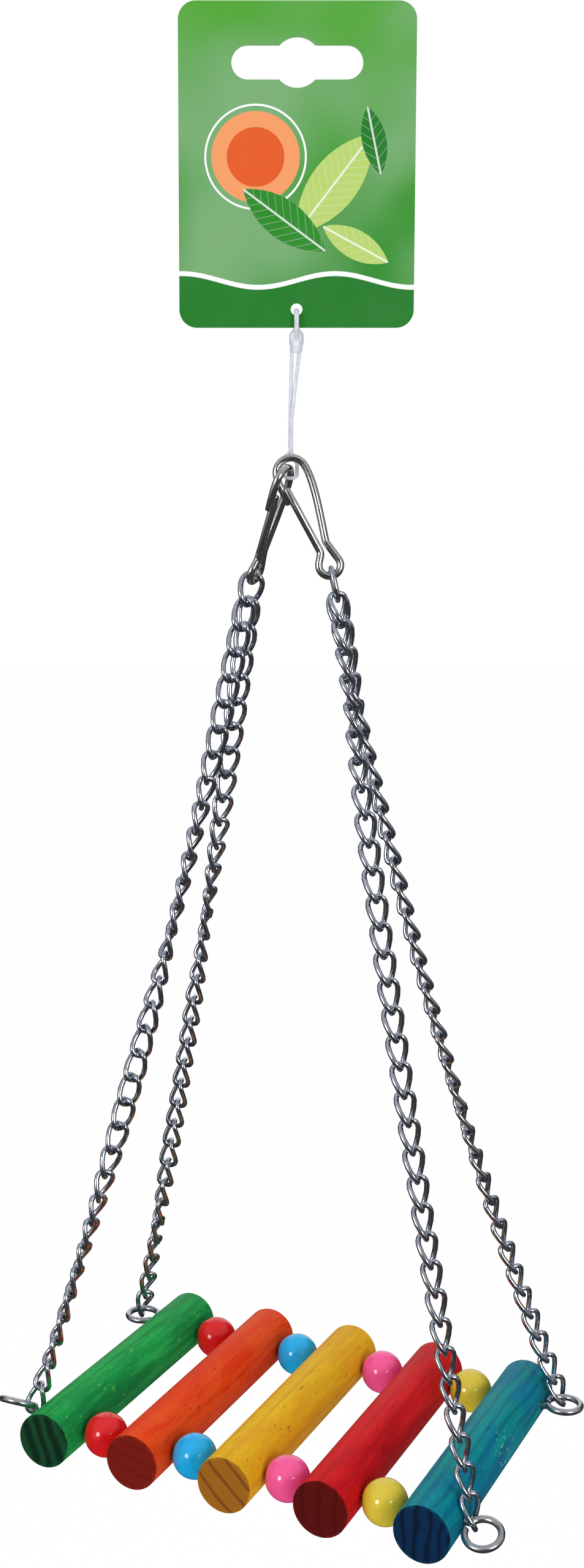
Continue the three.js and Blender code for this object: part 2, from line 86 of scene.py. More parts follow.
class Socket(Enum):
    """Kinds of sockets on a node group."""

    VECTOR = "NodeSocketVector"
    VALUE = "NodeSocketFloat"
    COUNT = "NodeSocketInt"
    GEOMETRY = "NodeSocketGeometry"
    MATERIAL = "NodeSocketMaterial"


class Tree(Enum):
    """Kinds of node groups."""

    SHADER = "ShaderNodeTree"
    GEOMETRY = "GeometryNodeTree"


class Side(Enum):
    """The two hooks, seen from the front of the card."""

    LEFT = "left"
    RIGHT = "right"


class Row(Enum):
    """A wire of the ladder: its name, and its sign across the ladder."""

    FRONT = ("front", -1)
    BACK = ("back", 1)

    @property
    def label(self) -> str:
        """The wire's name in the CAD nodes."""
        return self.value[0]

    @property
    def sign(self) -> int:
        """The wire's sign across the ladder."""
        return self.value[1]


class Corner(Enum):
    """A corner of the ladder: its name, its hook, its sign along the ladder, and its wire."""

    FRONT_LEFT = ("front_left", Side.LEFT, -1, Row.FRONT)
    FRONT_RIGHT = ("front_right", Side.RIGHT, 1, Row.FRONT)
    BACK_LEFT = ("back_left", Side.LEFT, -1, Row.BACK)
    BACK_RIGHT = ("back_right", Side.RIGHT, 1, Row.BACK)

    @property
    def label(self) -> str:
        """The corner's name in the CAD nodes."""
        return self.value[0]

    @property
    def hook(self) -> Side:
        """The hook whose top link carries this corner's chain."""
        return self.value[1]

    @property
    def row(self) -> Row:
        """The wire that ends in this corner."""
        return self.value[3]

    @property
    def signs(self) -> tuple[int, int]:
        """The corner's signs along and across the ladder."""
        return self.value[2], self.row.sign


def srgb(red: float, green: float, blue: float) -> Colour:
    """Turn display values of 0 to 255 into a linear colour.

    Args:
        red: Red display value.
        green: Green display value.
        blue: Blue display value.

    Returns:
        The linear colour with full alpha.
    """

    def linear(value: float) -> float:
        """Undo the display curve of one channel."""
        share = value / 255.0
        return share / 12.92 if share <= 0.04045 else ((share + 0.055) / 1.055) ** 2.4

    return linear(red), linear(green), linear(blue), 1.0


def turn_about(axis: Vector, degrees: float) -> Matrix:
    """Give the rotation about an axis as a 3 by 3 matrix."""
    return Matrix.Rotation(math.radians(degrees), 3, axis)


def arc(centre: Vector, radius: float, right: Vector, upward: Vector, start: float, end: float,
        step: float = 8.0) -> list[Vector]:
    """Sample an arc.

    Args:
        centre: Centre of the arc.
        radius: Its radius.
        right: Unit vector at angle 0.
        upward: Unit vector at angle 90.
        start: First angle in degrees.
        end: Last angle in degrees.
        step: Largest angle between two points.

    Returns:
        Points along the arc, both ends included.
    """
    count = max(2, math.ceil(abs(end - start) / step))
    angles = [math.radians(start + (end - start) * i / count) for i in range(count + 1)]
    return [centre + right * (radius * math.cos(a)) + upward * (radius * math.sin(a))
            for a in angles]


def soften(points: Sequence[Vector], radius: float, closed: bool = False) -> list[Vector]:
    """Round the sharp corners of a path, as a bent wire has them.

    Args:
        points: Corners of the path.
        radius: Bend radius on the path.
        closed: Whether the path runs back to its start.

    Returns:
        The path with a bend in place of each sharp corner.
    """
    count = len(points)
    soft: list[Vector] = []
    for i, point in enumerate(points):
        if not closed and i in (0, count - 1):
            soft.append(point.copy())
            continue
        back = points[i - 1] - point
        ahead = points[(i + 1) % count] - point
        turn = math.pi - back.angle(ahead)
        if turn < math.radians(BEND_FROM):
            soft.append(point.copy())
            continue
        reach = min(radius * math.tan(turn / 2), BEND_SHARE * back.length,
                    BEND_SHARE * ahead.length)
        first = point + back.normalized() * reach
        last = point + ahead.normalized() * reach
        steps = max(2, math.ceil(math.degrees(turn) / BEND_STEP))
        for k in range(steps + 1):
            t = k / steps
            soft.append(first * (1 - t) ** 2 + point * (2 * t * (1 - t)) + last * t ** 2)
    return soft


def ring_faces(rings: int, sides: int, closed: bool = False) -> list[Face]:
    """Join rings of vertices by quads.

    Args:
        rings: How many rings there are.
        sides: Vertices in each ring.
        closed: Whether the last ring is joined to the first.

    Returns:
        The quads.
    """
    faces: list[Face] = []
    for ring in range(rings if closed else rings - 1):
        here, there = ring * sides, (ring + 1) % rings * sides
        for k in range(sides):
            after = (k + 1) % sides
            faces.append((here + k, there + k, there + after, here + after))
    return faces


def tube(verts: list[Vector], sides: int, poles: tuple[Vector, Vector]) -> Skin:
    """Skin rings of vertices as a tube with a pole at each end.

    Args:
        verts: The vertices, ring after ring.
        sides: Vertices in each ring.
        poles: The middle of the first end and of the last.

    Returns:
        Vertices and faces of the closed skin.
    """
    pole, base = len(verts), len(verts) - sides
    faces = ring_faces(len(verts) // sides, sides)
    for k in range(sides):
        after = (k + 1) % sides
        faces += [(pole, k, after), (pole + 1, base + after, base + k)]
    return [*verts, *poles], faces


def wire_skin(path: Sequence[Vector], diameter: float, sides: int,
              end_round: Pair = (0.5, 0.5)) -> Skin:
    """Skin a round wire along a path.

    Args:
        path: Points of the wire's middle line.
        diameter: Thickness of the wire.
        sides: Points round the wire.
        end_round: How far its first and last end bulge, from 0 (flat) to 1 (half a ball).

    Returns:
        Vertices and faces of the closed skin.
    """
    radius = diameter / 2
    points = [p for i, p in enumerate(path)
              if i == 0 or (p - path[i - 1]).length > SAME_POINT]
    tangents = []
    for i in range(len(points)):
        span = points[min(i + 1, len(points) - 1)] - points[max(i - 1, 0)]
        tangents.append(span.normalized())
    normal = tangents[0].orthogonal().normalized()
    normals = [normal]
    for before, after in zip(tangents, tangents[1:]):
        normal = before.rotation_difference(after) @ normal
        normals.append((normal - after * normal.dot(after)).normalized())

    stations: list[tuple[Vector, Vector, Vector, float]] = []
    bulge = [math.radians(a) for a in END_ANGLES]
    head, tail = (max(share, FLAT_END) * radius for share in end_round)
    for a in bulge:
        place = points[0] + tangents[0] * (head - head * math.sin(a))
        stations.append((place, tangents[0], normals[0], radius * math.cos(a)))
    middle = [points[0] + tangents[0] * head, *points[1:-1], points[-1] - tangents[-1] * tail]
    for point, tangent, normal in zip(middle, tangents, normals):
        stations.append((point, tangent, normal, radius))
    for a in reversed(bulge):
        place = points[-1] - tangents[-1] * (tail - tail * math.sin(a))
        stations.append((place, tangents[-1], normals[-1], radius * math.cos(a)))

    verts: list[Vector] = []
    for point, tangent, normal, ring_radius in stations:
        binormal = tangent.cross(normal)
        for k in range(sides):
            angle = 2 * math.pi * k / sides
            verts.append(point + normal * (ring_radius * math.cos(angle))
                         + binormal * (ring_radius * math.sin(angle)))
    return tube(verts, sides, (points[0].copy(), points[-1].copy()))


def lathe(profile: Sequence[Pair], sides: int, closed: bool) -> Skin:
    """Turn a profile about the Y axis.

    Args:
        profile: Radius and place along Y of each point, from -Y to +Y.
        sides: Points round the axis.
        closed: True for a ring, whose profile runs back to its start; False for a solid with a
            pole at each end.

    Returns:
        Vertices and faces of the closed skin.
    """
    verts: list[Vector] = []
    for radius, along in profile:
        for k in range(sides):
            angle = 2 * math.pi * k / sides
            verts.append(Vector((radius * math.cos(angle), along, radius * math.sin(angle))))
    if closed:
        return verts, ring_faces(len(profile), sides, closed=True)
    return tube(verts, sides, (Vector((0, profile[0][1], 0)), Vector((0, profile[-1][1], 0))))


def joined(skins: Sequence[Skin]) -> Skin:
    """Put several closed skins into one list of vertices and faces.

    Args:
        skins: The skins.

    Returns:
        All their vertices and faces.
    """
    verts: list[Vector] = []
    faces: list[Face] = []
    for skin_verts, skin_faces in skins:
        base = len(verts)
        verts += skin_verts
        faces += [tuple(base + i for i in face) for face in skin_faces]
    return verts, faces


def moved(skin: Skin, matrix: Matrix) -> Skin:
    """Place a skin by a 4 by 4 matrix in millimetres."""
    return [matrix @ v for v in skin[0]], skin[1]


def linked(name: str, data: bpy.types.ID) -> bpy.types.Object:
    """Put a new object into the scene, at the origin.

    Args:
        name: Name of the object.
        data: Its mesh, curve, lamp or camera.

    Returns:
        The object.
    """
    obj = bpy.data.objects.new(name, data)
    bpy.context.scene.collection.objects.link(obj)
    return obj


def finish_mesh(mesh: bpy.types.Mesh, sharp: float) -> None:
    """Merge doubles, turn the faces outwards and shade the mesh.

    Args:
        mesh: The mesh to finish.
        sharp: Angle in degrees above which an edge stays sharp.
    """
    work = bmesh.new()
    work.from_mesh(mesh)
    bmesh.ops.remove_doubles(work, verts=work.verts, dist=MERGE_DISTANCE)
    bmesh.ops.recalc_face_normals(work, faces=work.faces)
    work.to_mesh(mesh)
    work.free()
    mesh.shade_smooth()
    mesh.set_sharp_from_angle(angle=math.radians(sharp))


def mesh_object(name: str, skin: Skin, material: Optional[bpy.types.Material] = None,
                sharp: float = 50.0) -> bpy.types.Object:
    """Make a mesh object from a skin in millimetres.

    Args:
        name: Name of the object and its mesh.
        skin: Vertices and faces.
        material: Material of the whole mesh.
        sharp: Angle in degrees above which an edge stays sharp.

    Returns:
        The linked object, at the origin.
    """
    mesh = bpy.data.meshes.new(name)
    mesh.from_pydata([v * MM for v in skin[0]], [], skin[1])
    mesh.validate()
    finish_mesh(mesh, sharp)
    if material is not None:
        mesh.materials.append(material)
    return linked(name, mesh)


def evaluated_mesh(obj: bpy.types.Object) -> bpy.types.Mesh:
    """Take the plain mesh that an object's modifiers or its curve make.

    Args:
        obj: An object with live modifiers, or a curve.

    Returns:
        A new mesh.
    """
    bpy.context.view_layer.update()
    depsgraph = bpy.context.evaluated_depsgraph_get()
    return bpy.data.meshes.new_from_object(obj.evaluated_get(depsgraph), depsgraph=depsgraph)


def bake(obj: bpy.types.Object) -> None:
    """Replace an object's mesh by its evaluated one and drop its modifiers.

    Args:
        obj: An object with live modifiers.
    """
    mesh, old = evaluated_mesh(obj), obj.data
    obj.modifiers.clear()
    obj.data = mesh
    mesh.name = obj.name
    bpy.data.meshes.remove(old)


def seat(obj: bpy.types.Object, node: str, body: str) -> None:
    """Let a piece stand for a CAD node and ride on its body.

    Args:
        obj: The finished piece.
        node: The CAD node it stands for.
        body: The body it moves with.
    """
    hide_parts(node)
    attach(obj, body)
    LOG.info("%s: %d faces on %s", obj.name, len(obj.data.polygons), body)


class Graph:
    """A small builder over one node tree, for shaders and for geometry."""

    def __init__(self, tree: bpy.types.NodeTree) -> None:
        """Keep the tree that the nodes go into."""
        self.tree = tree

    def add(self, kind: str, **settings: object) -> bpy.types.Node:
        """Add a node.

        Args:
            kind: The node's type name.
            **settings: Properties of the node.

        Returns:
            The new node.
        """
        node = self.tree.nodes.new(kind)
        for key, value in settings.items():
            setattr(node, key, value)
        return node

    def feed(self, socket: bpy.types.NodeSocket, value: Feed) -> None:
        """Link a socket to another, or set its value.

        Args:
            socket: The socket that is fed.
            value: The socket it is linked to, or its value.
        """
        if isinstance(value, bpy.types.NodeSocket):
            self.tree.links.new(value, socket)
        else:
            socket.default_value = value

    def feed_all(self, sockets: Sequence[bpy.types.NodeSocket], values: Sequence[Feed]) -> None:
        """Feed several sockets in order."""
        for socket, value in zip(sockets, values):
            self.feed(socket, value)

    def math(self, operation: str, first: Feed, second: Feed = 0.0) -> bpy.types.NodeSocket:
        """Add a Math node.

        Args:
            operation: What it does.
            first: Its first value.
            second: Its second value, where it takes two.

        Returns:
            Its result.
        """
        node = self.add("ShaderNodeMath", operation=operation)
        self.feed_all(node.inputs[:2], (first, second))
        return node.outputs[0]

    def vector(self, operation: str, first: Feed,
               second: Feed = (0.0, 0.0, 0.0)) -> bpy.types.NodeSocket:
        """Add a Vector Math node.

        Args:
            operation: What it does.
            first: Its first vector.
            second: Its second vector, where it takes two.

        Returns:
            Its result, which is a plain value for LENGTH.
        """
        node = self.add("ShaderNodeVectorMath", operation=operation)
        self.feed_all(node.inputs[:2], (first, second))
        return node.outputs["Value" if operation == "LENGTH" else "Vector"]

    def mix(self, factor: Feed, first: Feed, second: Feed) -> bpy.types.NodeSocket:
        """Mix two colours.

        Args:
            factor: Share of the second colour.
            first: The first colour.
            second: The second colour.

        Returns:
            The mixed colour.
        """
        node = self.add("ShaderNodeMix", data_type="RGBA")
        self.feed_all((node.inputs[0], node.inputs[6], node.inputs[7]), (factor, first, second))
        return node.outputs[2]

    def ease(self, value: Feed, low: Feed, high: Feed, to_low: float = 0.0,
             to_high: float = 1.0) -> bpy.types.NodeSocket:
        """Ramp a value smoothly from one level to another.

        Args:
            value: The value that is ramped.
            low: Where the ramp starts.
            high: Where it ends.
            to_low: Result at its start.
            to_high: Result at its end.

        Returns:
            The ramped value.
        """
        node = self.add("ShaderNodeMapRange", interpolation_type="SMOOTHSTEP")
        self.feed_all(node.inputs[:5], (value, low, high, to_low, to_high))
        return node.outputs[0]

    def noise(self, place: Feed, scale: float = 1.0, detail: float = 2.0, rough: float = 0.5,
              warp: float = 0.0) -> bpy.types.NodeSocket:
        """Add a noise texture.

        Args:
            place: Where it is read.
            scale: How many grains there are to a millimetre.
            detail: How many finer layers lie on it.
            rough: How strong the finer layers are.
            warp: How far it is distorted.

        Returns:
            Its value.
        """
        node = self.add("ShaderNodeTexNoise")
        for label, value in (("Vector", place), ("Scale", scale), ("Detail", detail),
                             ("Roughness", rough), ("Distortion", warp)):
            self.feed(node.inputs[label], value)
        return node.outputs[0]

    def parts(self, place: Feed) -> tuple[bpy.types.NodeSocket, ...]:
        """Split a vector.

        Args:
            place: The vector.

        Returns:
            Its X, Y and Z.
        """
        node = self.add("ShaderNodeSeparateXYZ")
        self.feed(node.inputs[0], place)
        return tuple(node.outputs)

    def vec(self, x: Feed, y: Feed, z: Feed) -> bpy.types.NodeSocket:
        """Join three values into a vector.

        Args:
            x: Its X.
            y: Its Y.
            z: Its Z.

        Returns:
            The vector.
        """
        node = self.add("ShaderNodeCombineXYZ")
        self.feed_all(node.inputs, (x, y, z))
        return node.outputs[0]

    def seen(self) -> bpy.types.NodeSocket:
        """Tell the rays that a viewer sees, straight, mirrored or through plastic, from the rest.

        Returns:
            1 for such a ray, and 0 for another.
        """
        path = self.add("ShaderNodeLightPath").outputs
        turned = self.math("MAXIMUM", path["Is Glossy Ray"], path["Is Transmission Ray"])
        return self.math("MAXIMUM", path["Is Camera Ray"], turned)


class GroupBuilder:
    """Builds one node group with named inputs and outputs."""

    def __init__(self, name: str, kind: Tree, inputs: dict[str, tuple[Socket, object]],
                 outputs: dict[str, Socket]) -> None:
        """Make the group's interface.

        Args:
            name: Name of the group.
            kind: Whether it is for shaders or for geometry.
            inputs: Kind and first value of each input; None where it has no first value.
            outputs: Kind of each output.
        """
        self.tree = bpy.data.node_groups.new(name, kind.value)
        face = self.tree.interface
        for label, (sort, value) in inputs.items():
            socket = face.new_socket(name=label, in_out="INPUT", socket_type=sort.value)
            if value is not None:
                socket.default_value = value
        for label, sort in outputs.items():
            face.new_socket(name=label, in_out="OUTPUT", socket_type=sort.value)
        self.graph = Graph(self.tree)
        self.given = self.graph.add("NodeGroupInput").outputs
        self.result = self.graph.add("NodeGroupOutput").inputs

    def put(self, label: str, value: bpy.types.NodeSocket) -> None:
        """Link a socket to one of the group's outputs."""
        self.graph.feed(self.result[label], value)


@dataclass(frozen=True)
class Mottle:
    """A noise stretched along the axes, which shows from one of its levels to another."""

    stretch: Triple
    low: float
    high: float
    detail: float = 2.0
    rough: float = 0.5
    warp: float = 0.0
    strength: float = 1.0

    def mask(self, g: Graph, place: Feed) -> bpy.types.NodeSocket:
        """Lay the mottle into a tree.

        Args:
            g: The tree's builder.
            place: Where it is read, in millimetres.

        Returns:
            The mask, from 0 to the mottle's strength.
        """
        level = g.noise(g.vector("MULTIPLY", place, self.stretch), detail=self.detail,
                        rough=self.rough, warp=self.warp)
        return g.ease(level, self.low, self.high, 0.0, self.strength)


class Effects:
    """The shader node groups that several materials share."""

    RING_WANDER: Triple = (0.06, 0.02, 0.06)
    RING_CORE = 0.25
    FIGURE = {
        "Streaks": Mottle((0.75, 0.035, 0.75), 0.42, 0.64, detail=4.0, rough=0.62),
        "Blotch": Mottle((0.17, 0.05, 0.17), 0.44, 0.62, detail=3.0, rough=0.55),
        "Flecks": Mottle((1.2, 0.34, 1.2), 0.62, 0.72, detail=3.0, rough=0.62),
        "Pores": Mottle((4.2, 0.13, 4.2), 0.58, 0.72),
    }
    # Patches of a paler band along each end edge of a dowel.
    PALE_RIM = Mottle((0.9, 0.9, 0.9), 0.4, 0.62)
    END_FACE: Pair = (-0.34, -0.12)
    RIM_BELOW_SKIN: Pair = (-0.9, -0.1)
    RIM_BEFORE_END: Pair = (-1.1, -0.1)

    SMUDGE_LEVELS: Pair = (0.36, 0.68)
    SCRATCHES = Mottle((5.0, 1.1, 0.7), 0.62, 0.72, rough=0.6, warp=0.6)

    LEAF_EDGE: Pair = (-0.06, 0.06)
    MIDDLE_VEIN: Pair = (0.34, 0.16)
    RIB_SLOPE = 0.9
    RIB_RATE = 0.42
    RIB_LEVELS: Pair = (0.45, 0.49)
    RIB_DEPTH = 0.45

    def __init__(self) -> None:
        """Build each group once."""
        self.dowel_grain = self._dowel_grain()
        self.handling = self._handling()
        self.leaf = self._leaf()

    def _dowel_grain(self) -> bpy.types.NodeTree:
        """Grain of a turned dowel along Y: rings about a pith off its axis, figure and end faces.

        Returns:
            The group. Its Vector is in millimetres from the dowel's middle.
        """
        labels = ("Rings", *self.FIGURE, "Ends", "Rim")
        build = GroupBuilder(
            "dowel_grain",
            Tree.SHADER,
            {
                "Vector": (Socket.VECTOR, (0.0, 0.0, 0.0)),
                "Pith": (Socket.VECTOR, (30.0, 0.0, 0.0)),
                "Spacing": (Socket.VALUE, 3.0),
                "Band": (Socket.VALUE, 0.2),
                "Wander": (Socket.VALUE, 2.0),
                "Half Length": (Socket.VALUE, 44.0),
                "Radius": (Socket.VALUE, 7.5),
            },
            {label: Socket.VALUE for label in labels},
        )
        g, given = build.graph, build.given
        place = given["Vector"]
        wander = g.noise(g.vector("MULTIPLY", place, self.RING_WANDER))
        across = g.vector("SUBTRACT", g.vector("MULTIPLY", place, (1.0, 0.0, 1.0)), given["Pith"])
        radius = g.math("ADD", g.vector("LENGTH", across),
                        g.math("MULTIPLY", wander, given["Wander"]))
        phase = g.math("FRACT", g.math("DIVIDE", radius, given["Spacing"]))
        off_band = g.math("ABSOLUTE", g.math("SUBTRACT", phase, 0.5))
        core = g.math("MULTIPLY", given["Band"], self.RING_CORE)
        build.put("Rings", g.ease(off_band, given["Band"], core))
        for label, mottle in self.FIGURE.items():
            build.put(label, mottle.mask(g, place))
        x, y, z = g.parts(place)
        to_end = g.math("SUBTRACT", g.math("ABSOLUTE", y), given["Half Length"])
        build.put("Ends", g.ease(to_end, *self.END_FACE))
        out = g.math("SQRT", g.math("ADD", g.math("MULTIPLY", x, x), g.math("MULTIPLY", z, z)))
        near_skin = g.ease(g.math("SUBTRACT", out, given["Radius"]), *self.RIM_BELOW_SKIN)
        near_end = g.ease(to_end, *self.RIM_BEFORE_END)
        rim = g.math("MULTIPLY", near_skin, near_end)
        build.put("Rim", g.math("MULTIPLY", rim, self.PALE_RIM.mask(g, place)))
        return build.tree

    def _handling(self) -> bpy.types.NodeTree:
        """Smudges and fine scratches of handled metal, plastic, card and lacquer.

        Returns:
            The group. Its Vector is in millimetres.
        """
        build = GroupBuilder(
            "handling",
            Tree.SHADER,
            {
                "Vector": (Socket.VECTOR, (0.0, 0.0, 0.0)),
                "Smudge Size": (Socket.VALUE, 3.0),
            },
            {label: Socket.VALUE for label in ("Smudge", "Scratch", "Height")},
        )
        g, given = build.graph, build.given
        place, size = given["Vector"], given["Smudge Size"]
        near = g.vector("DIVIDE", place, g.vec(size, size, size))
        smudge = g.ease(g.noise(near, detail=3.0, rough=0.6), *self.SMUDGE_LEVELS)
        scratch = self.SCRATCHES.mask(g, place)
        build.put("Smudge", smudge)
        build.put("Scratch", scratch)
        build.put("Height", g.math("SUBTRACT", smudge, scratch))
        return build.tree

    def _leaf(self) -> bpy.types.NodeTree:
        """A printed leaf: the lens between two circles, with a pale middle vein and side ribs.

        Returns:
            The group. Its Vector is in millimetres on the card, X right and Z up.
        """
        build = GroupBuilder(
            "printed_leaf",
            Tree.SHADER,
            {
                "Vector": (Socket.VECTOR, (0.0, 0.0, 0.0)),
                "Middle": (Socket.VECTOR, (0.0, 0.0, 0.0)),
                "Turn": (Socket.VALUE, 0.0),
                "Half Length": (Socket.VALUE, 10.0),
                "Half Width": (Socket.VALUE, 4.0),
            },
            {label: Socket.VALUE for label in ("Leaf", "Vein")},
        )
        g, given = build.graph, build.given
        turn = g.add("ShaderNodeVectorRotate", rotation_type="Y_AXIS")
        g.feed(turn.inputs["Vector"], g.vector("SUBTRACT", given["Vector"], given["Middle"]))
        g.feed(turn.inputs["Angle"], given["Turn"])
        x, _, z = g.parts(turn.outputs[0])
        half, width = given["Half Length"], given["Half Width"]
        excess = g.math("SUBTRACT", g.math("MULTIPLY", half, half),
                        g.math("MULTIPLY", width, width))
        bow = g.math("DIVIDE", excess, g.math("MULTIPLY", width, 2.0))
        beside = g.math("ABSOLUTE", x)
        aside = g.math("ADD", beside, bow)
        reach = g.math("SQRT", g.math("ADD", g.math("MULTIPLY", aside, aside),
                                      g.math("MULTIPLY", z, z)))
        inside = g.math("SUBTRACT", g.math("ADD", bow, width), reach)
        leaf = g.ease(inside, *self.LEAF_EDGE)
        build.put("Leaf", leaf)
        slope = g.math("SUBTRACT", z, g.math("MULTIPLY", beside, self.RIB_SLOPE))
        phase = g.math("FRACT", g.math("MULTIPLY", slope, self.RIB_RATE))
        ribs = g.ease(g.math("ABSOLUTE", g.math("SUBTRACT", phase, 0.5)), *self.RIB_LEVELS)
        vein = g.math("MAXIMUM", g.ease(beside, *self.MIDDLE_VEIN),
                      g.math("MULTIPLY", ribs, self.RIB_DEPTH))
        build.put("Vein", g.math("MULTIPLY", vein, leaf))
        return build.tree


class MaterialGraph(Graph):
    """A material with one Principled shader, and its place in millimetres."""

    def __init__(self, name: str) -> None:
        """Make the material and find its shader.

        Args:
            name: Name of the material.
        """
        self.material = bpy.data.materials.new(f"{name}_finish")
        self.material.use_nodes = True
        super().__init__(self.material.node_tree)
        self.shader = next(n for n in self.tree.nodes if n.type == "BSDF_PRINCIPLED")

    def place(self, middle: Vector = Vector((0, 0, 0)), turn: float = 0.0) -> bpy.types.NodeSocket:
        """Give the place on the piece in millimetres.

        Args:
            middle: Where the pattern's middle lies, in millimetres.
            turn: How far the piece is turned about Z, in degrees.

        Returns:
            The place as seen from the piece.
        """
        coords = self.add("ShaderNodeTexCoord")
        mapping = self.add("ShaderNodeMapping")
        mapping.inputs["Scale"].default_value = (1 / MM, 1 / MM, 1 / MM)
        mapping.inputs["Rotation"].default_value = (0.0, 0.0, math.radians(-turn))
        mapping.inputs["Location"].default_value = -(turn_about(UP, -turn) @ middle)
        self.feed(mapping.inputs["Vector"], coords.outputs["Object"])
        return mapping.outputs["Vector"]

    def effect(self, tree: bpy.types.NodeTree, **given: Feed) -> bpy.types.NodeOutputs:
        """Place a shared group and set its inputs.

        Args:
            tree: The group.
            **given: Inputs, with underscores for blanks in their names.

        Returns:
            The group's outputs.
        """
        node = self.add("ShaderNodeGroup", node_tree=tree)
        for key, value in given.items():
            self.feed(node.inputs[key.replace("_", " ")], value)
        return node.outputs

    def layer(self, colour: Feed, mask: Feed, depth: float, over: Colour) -> bpy.types.NodeSocket:
        """Lay a colour over another where a mask shows, to a depth from 0 to 1."""
        return self.mix(self.math("MULTIPLY", mask, depth), colour, over)

    def set(self, **values: Feed) -> None:
        """Feed the Principled shader's sockets, with underscores for blanks in their names."""
        for key, value in values.items():
            self.feed(self.shader.inputs[key.replace("_", " ")], value)

    def bump(self, height: bpy.types.NodeSocket, depth: float, strength: float) -> None:
        """Drive the shader's normal by a height.

        Args:
            height: Height from 0 to 1.
            depth: What a height of 1 stands for, in millimetres.
            strength: How strongly the bump shows.
        """
        node = self.add("ShaderNodeBump")
        node.inputs["Strength"].default_value = strength
        node.inputs["Distance"].default_value = depth * MM
        self.feed(node.inputs["Height"], height)
        self.feed(self.shader.inputs["Normal"], node.outputs[0])


@dataclass(frozen=True)
class DyedWood:
    """Dyed, lightly waxed wood of one dowel; each depth says how strongly a feature shows."""

    slot: str
    base: Colour
    late: Colour
    pale: Colour
    patch: Colour
    fleck: Colour
    # End faces: darker partly as end grain soaks more dye, partly as painted shade.
    end: Colour
    end_late: Colour
    pith: Triple
    spacing: float
    band: float
    wander: float
    ring_depth: float
    streak_depth: float
    patch_depth: float
    end_depth: float
    fleck_depth: float = 0.65
    pore_depth: float = 0.4
    rim_depth: float = 0.12
    chip: Optional[Colour] = None
    chip_middle: Triple = (0.0, 0.0, 0.0)
    chip_reach: Triple = (6.0, 9.0, 6.0)
    chip_fade: Pair = (1.0, 0.45)
    roughness: float = 0.5
    streak_roughness: float = 0.1
    end_roughness: float = 0.25
    shine: float = 0.08
    streak_ridge: float = 0.6
    ring_groove: float = 0.4
    relief: float = 0.09
    relief_strength: float = 0.6

    CHIPS = Mottle((1.5, 0.8, 1.5), 0.595, 0.67, detail=3.0, rough=0.62, strength=0.7)

    def material(self, effects: Effects, middle: Vector, turn: float, length: float,
                 diameter: float) -> bpy.types.Material:
        """Build the material for a dowel.

        Args:
            effects: The shared groups.
            middle: The dowel's middle in millimetres.
            turn: The dowel's turn about Z in degrees.
            length: Its length.
            diameter: Its diameter.

        Returns:
            The material.
        """
        m = MaterialGraph(self.slot)
        place = m.place(middle, turn)
        grain = m.effect(effects.dowel_grain, Vector=place, Pith=self.pith, Spacing=self.spacing,
                         Band=self.band, Wander=self.wander, Half_Length=length / 2,
                         Radius=diameter / 2)
        rings, streaks, ends = grain["Rings"], grain["Streaks"], grain["Ends"]
        side = m.layer(self.base, rings, self.ring_depth, self.late)
        side = m.layer(side, streaks, self.streak_depth, self.pale)
        side = m.layer(side, grain["Blotch"], self.patch_depth, self.patch)
        side = m.layer(side, grain["Flecks"], self.fleck_depth, self.fleck)
        side = m.layer(side, grain["Pores"], self.pore_depth, self.late)
        # End faces: darker end grain, partly real dye and partly painted shade.
        cut = m.layer(self.end, rings, self.end_depth, self.end_late)
        colour = m.layer(m.mix(ends, side, cut), grain["Rim"], self.rim_depth, self.pale)
        if self.chip is not None:
            away = m.vector("SUBTRACT", place, self.chip_middle)
            away = m.vector("LENGTH", m.vector("DIVIDE", away, self.chip_reach))
            chipped = m.math("MULTIPLY", m.ease(away, *self.chip_fade), self.CHIPS.mask(m, place))
            colour = m.mix(chipped, colour, self.chip)
        rough = m.math("ADD", m.math("MULTIPLY", streaks, self.streak_roughness),
                       m.math("MULTIPLY", ends, self.end_roughness))
        m.set(Base_Color=colour, Roughness=m.math("ADD", rough, self.roughness),
              Specular_IOR_Level=self.shine)
        ridge = m.math("SUBTRACT", m.math("MULTIPLY", streaks, self.streak_ridge),
                       m.math("MULTIPLY", rings, self.ring_groove))
        m.bump(ridge, self.relief, self.relief_strength)
        return m.material


@dataclass(frozen=True)
class Lacquer:
    """Glossy lacquer of a bead."""

    slot: str
    base: Colour
    deep: Colour
    smudge: float = 4.0
    smudge_depth: float = 0.35
    smooth: float = 0.07
    rough: float = 0.14
    shine: float = 0.5
    relief: float = 0.02
    relief_strength: float = 0.1

    def material(self, effects: Effects) -> bpy.types.Material:
        """Build the material of the beads of one colour.

        Args:
            effects: The shared groups.

        Returns:
            The material.
        """
        m = MaterialGraph(self.slot)
        worn = m.effect(effects.handling, Vector=m.place(), Smudge_Size=self.smudge)["Smudge"]
        m.set(Base_Color=m.layer(self.base, worn, self.smudge_depth, self.deep),
              Roughness=m.ease(worn, 0.0, 1.0, self.smooth, self.rough),
              Specular_IOR_Level=self.shine)
        m.bump(worn, self.relief, self.relief_strength)
        return m.material


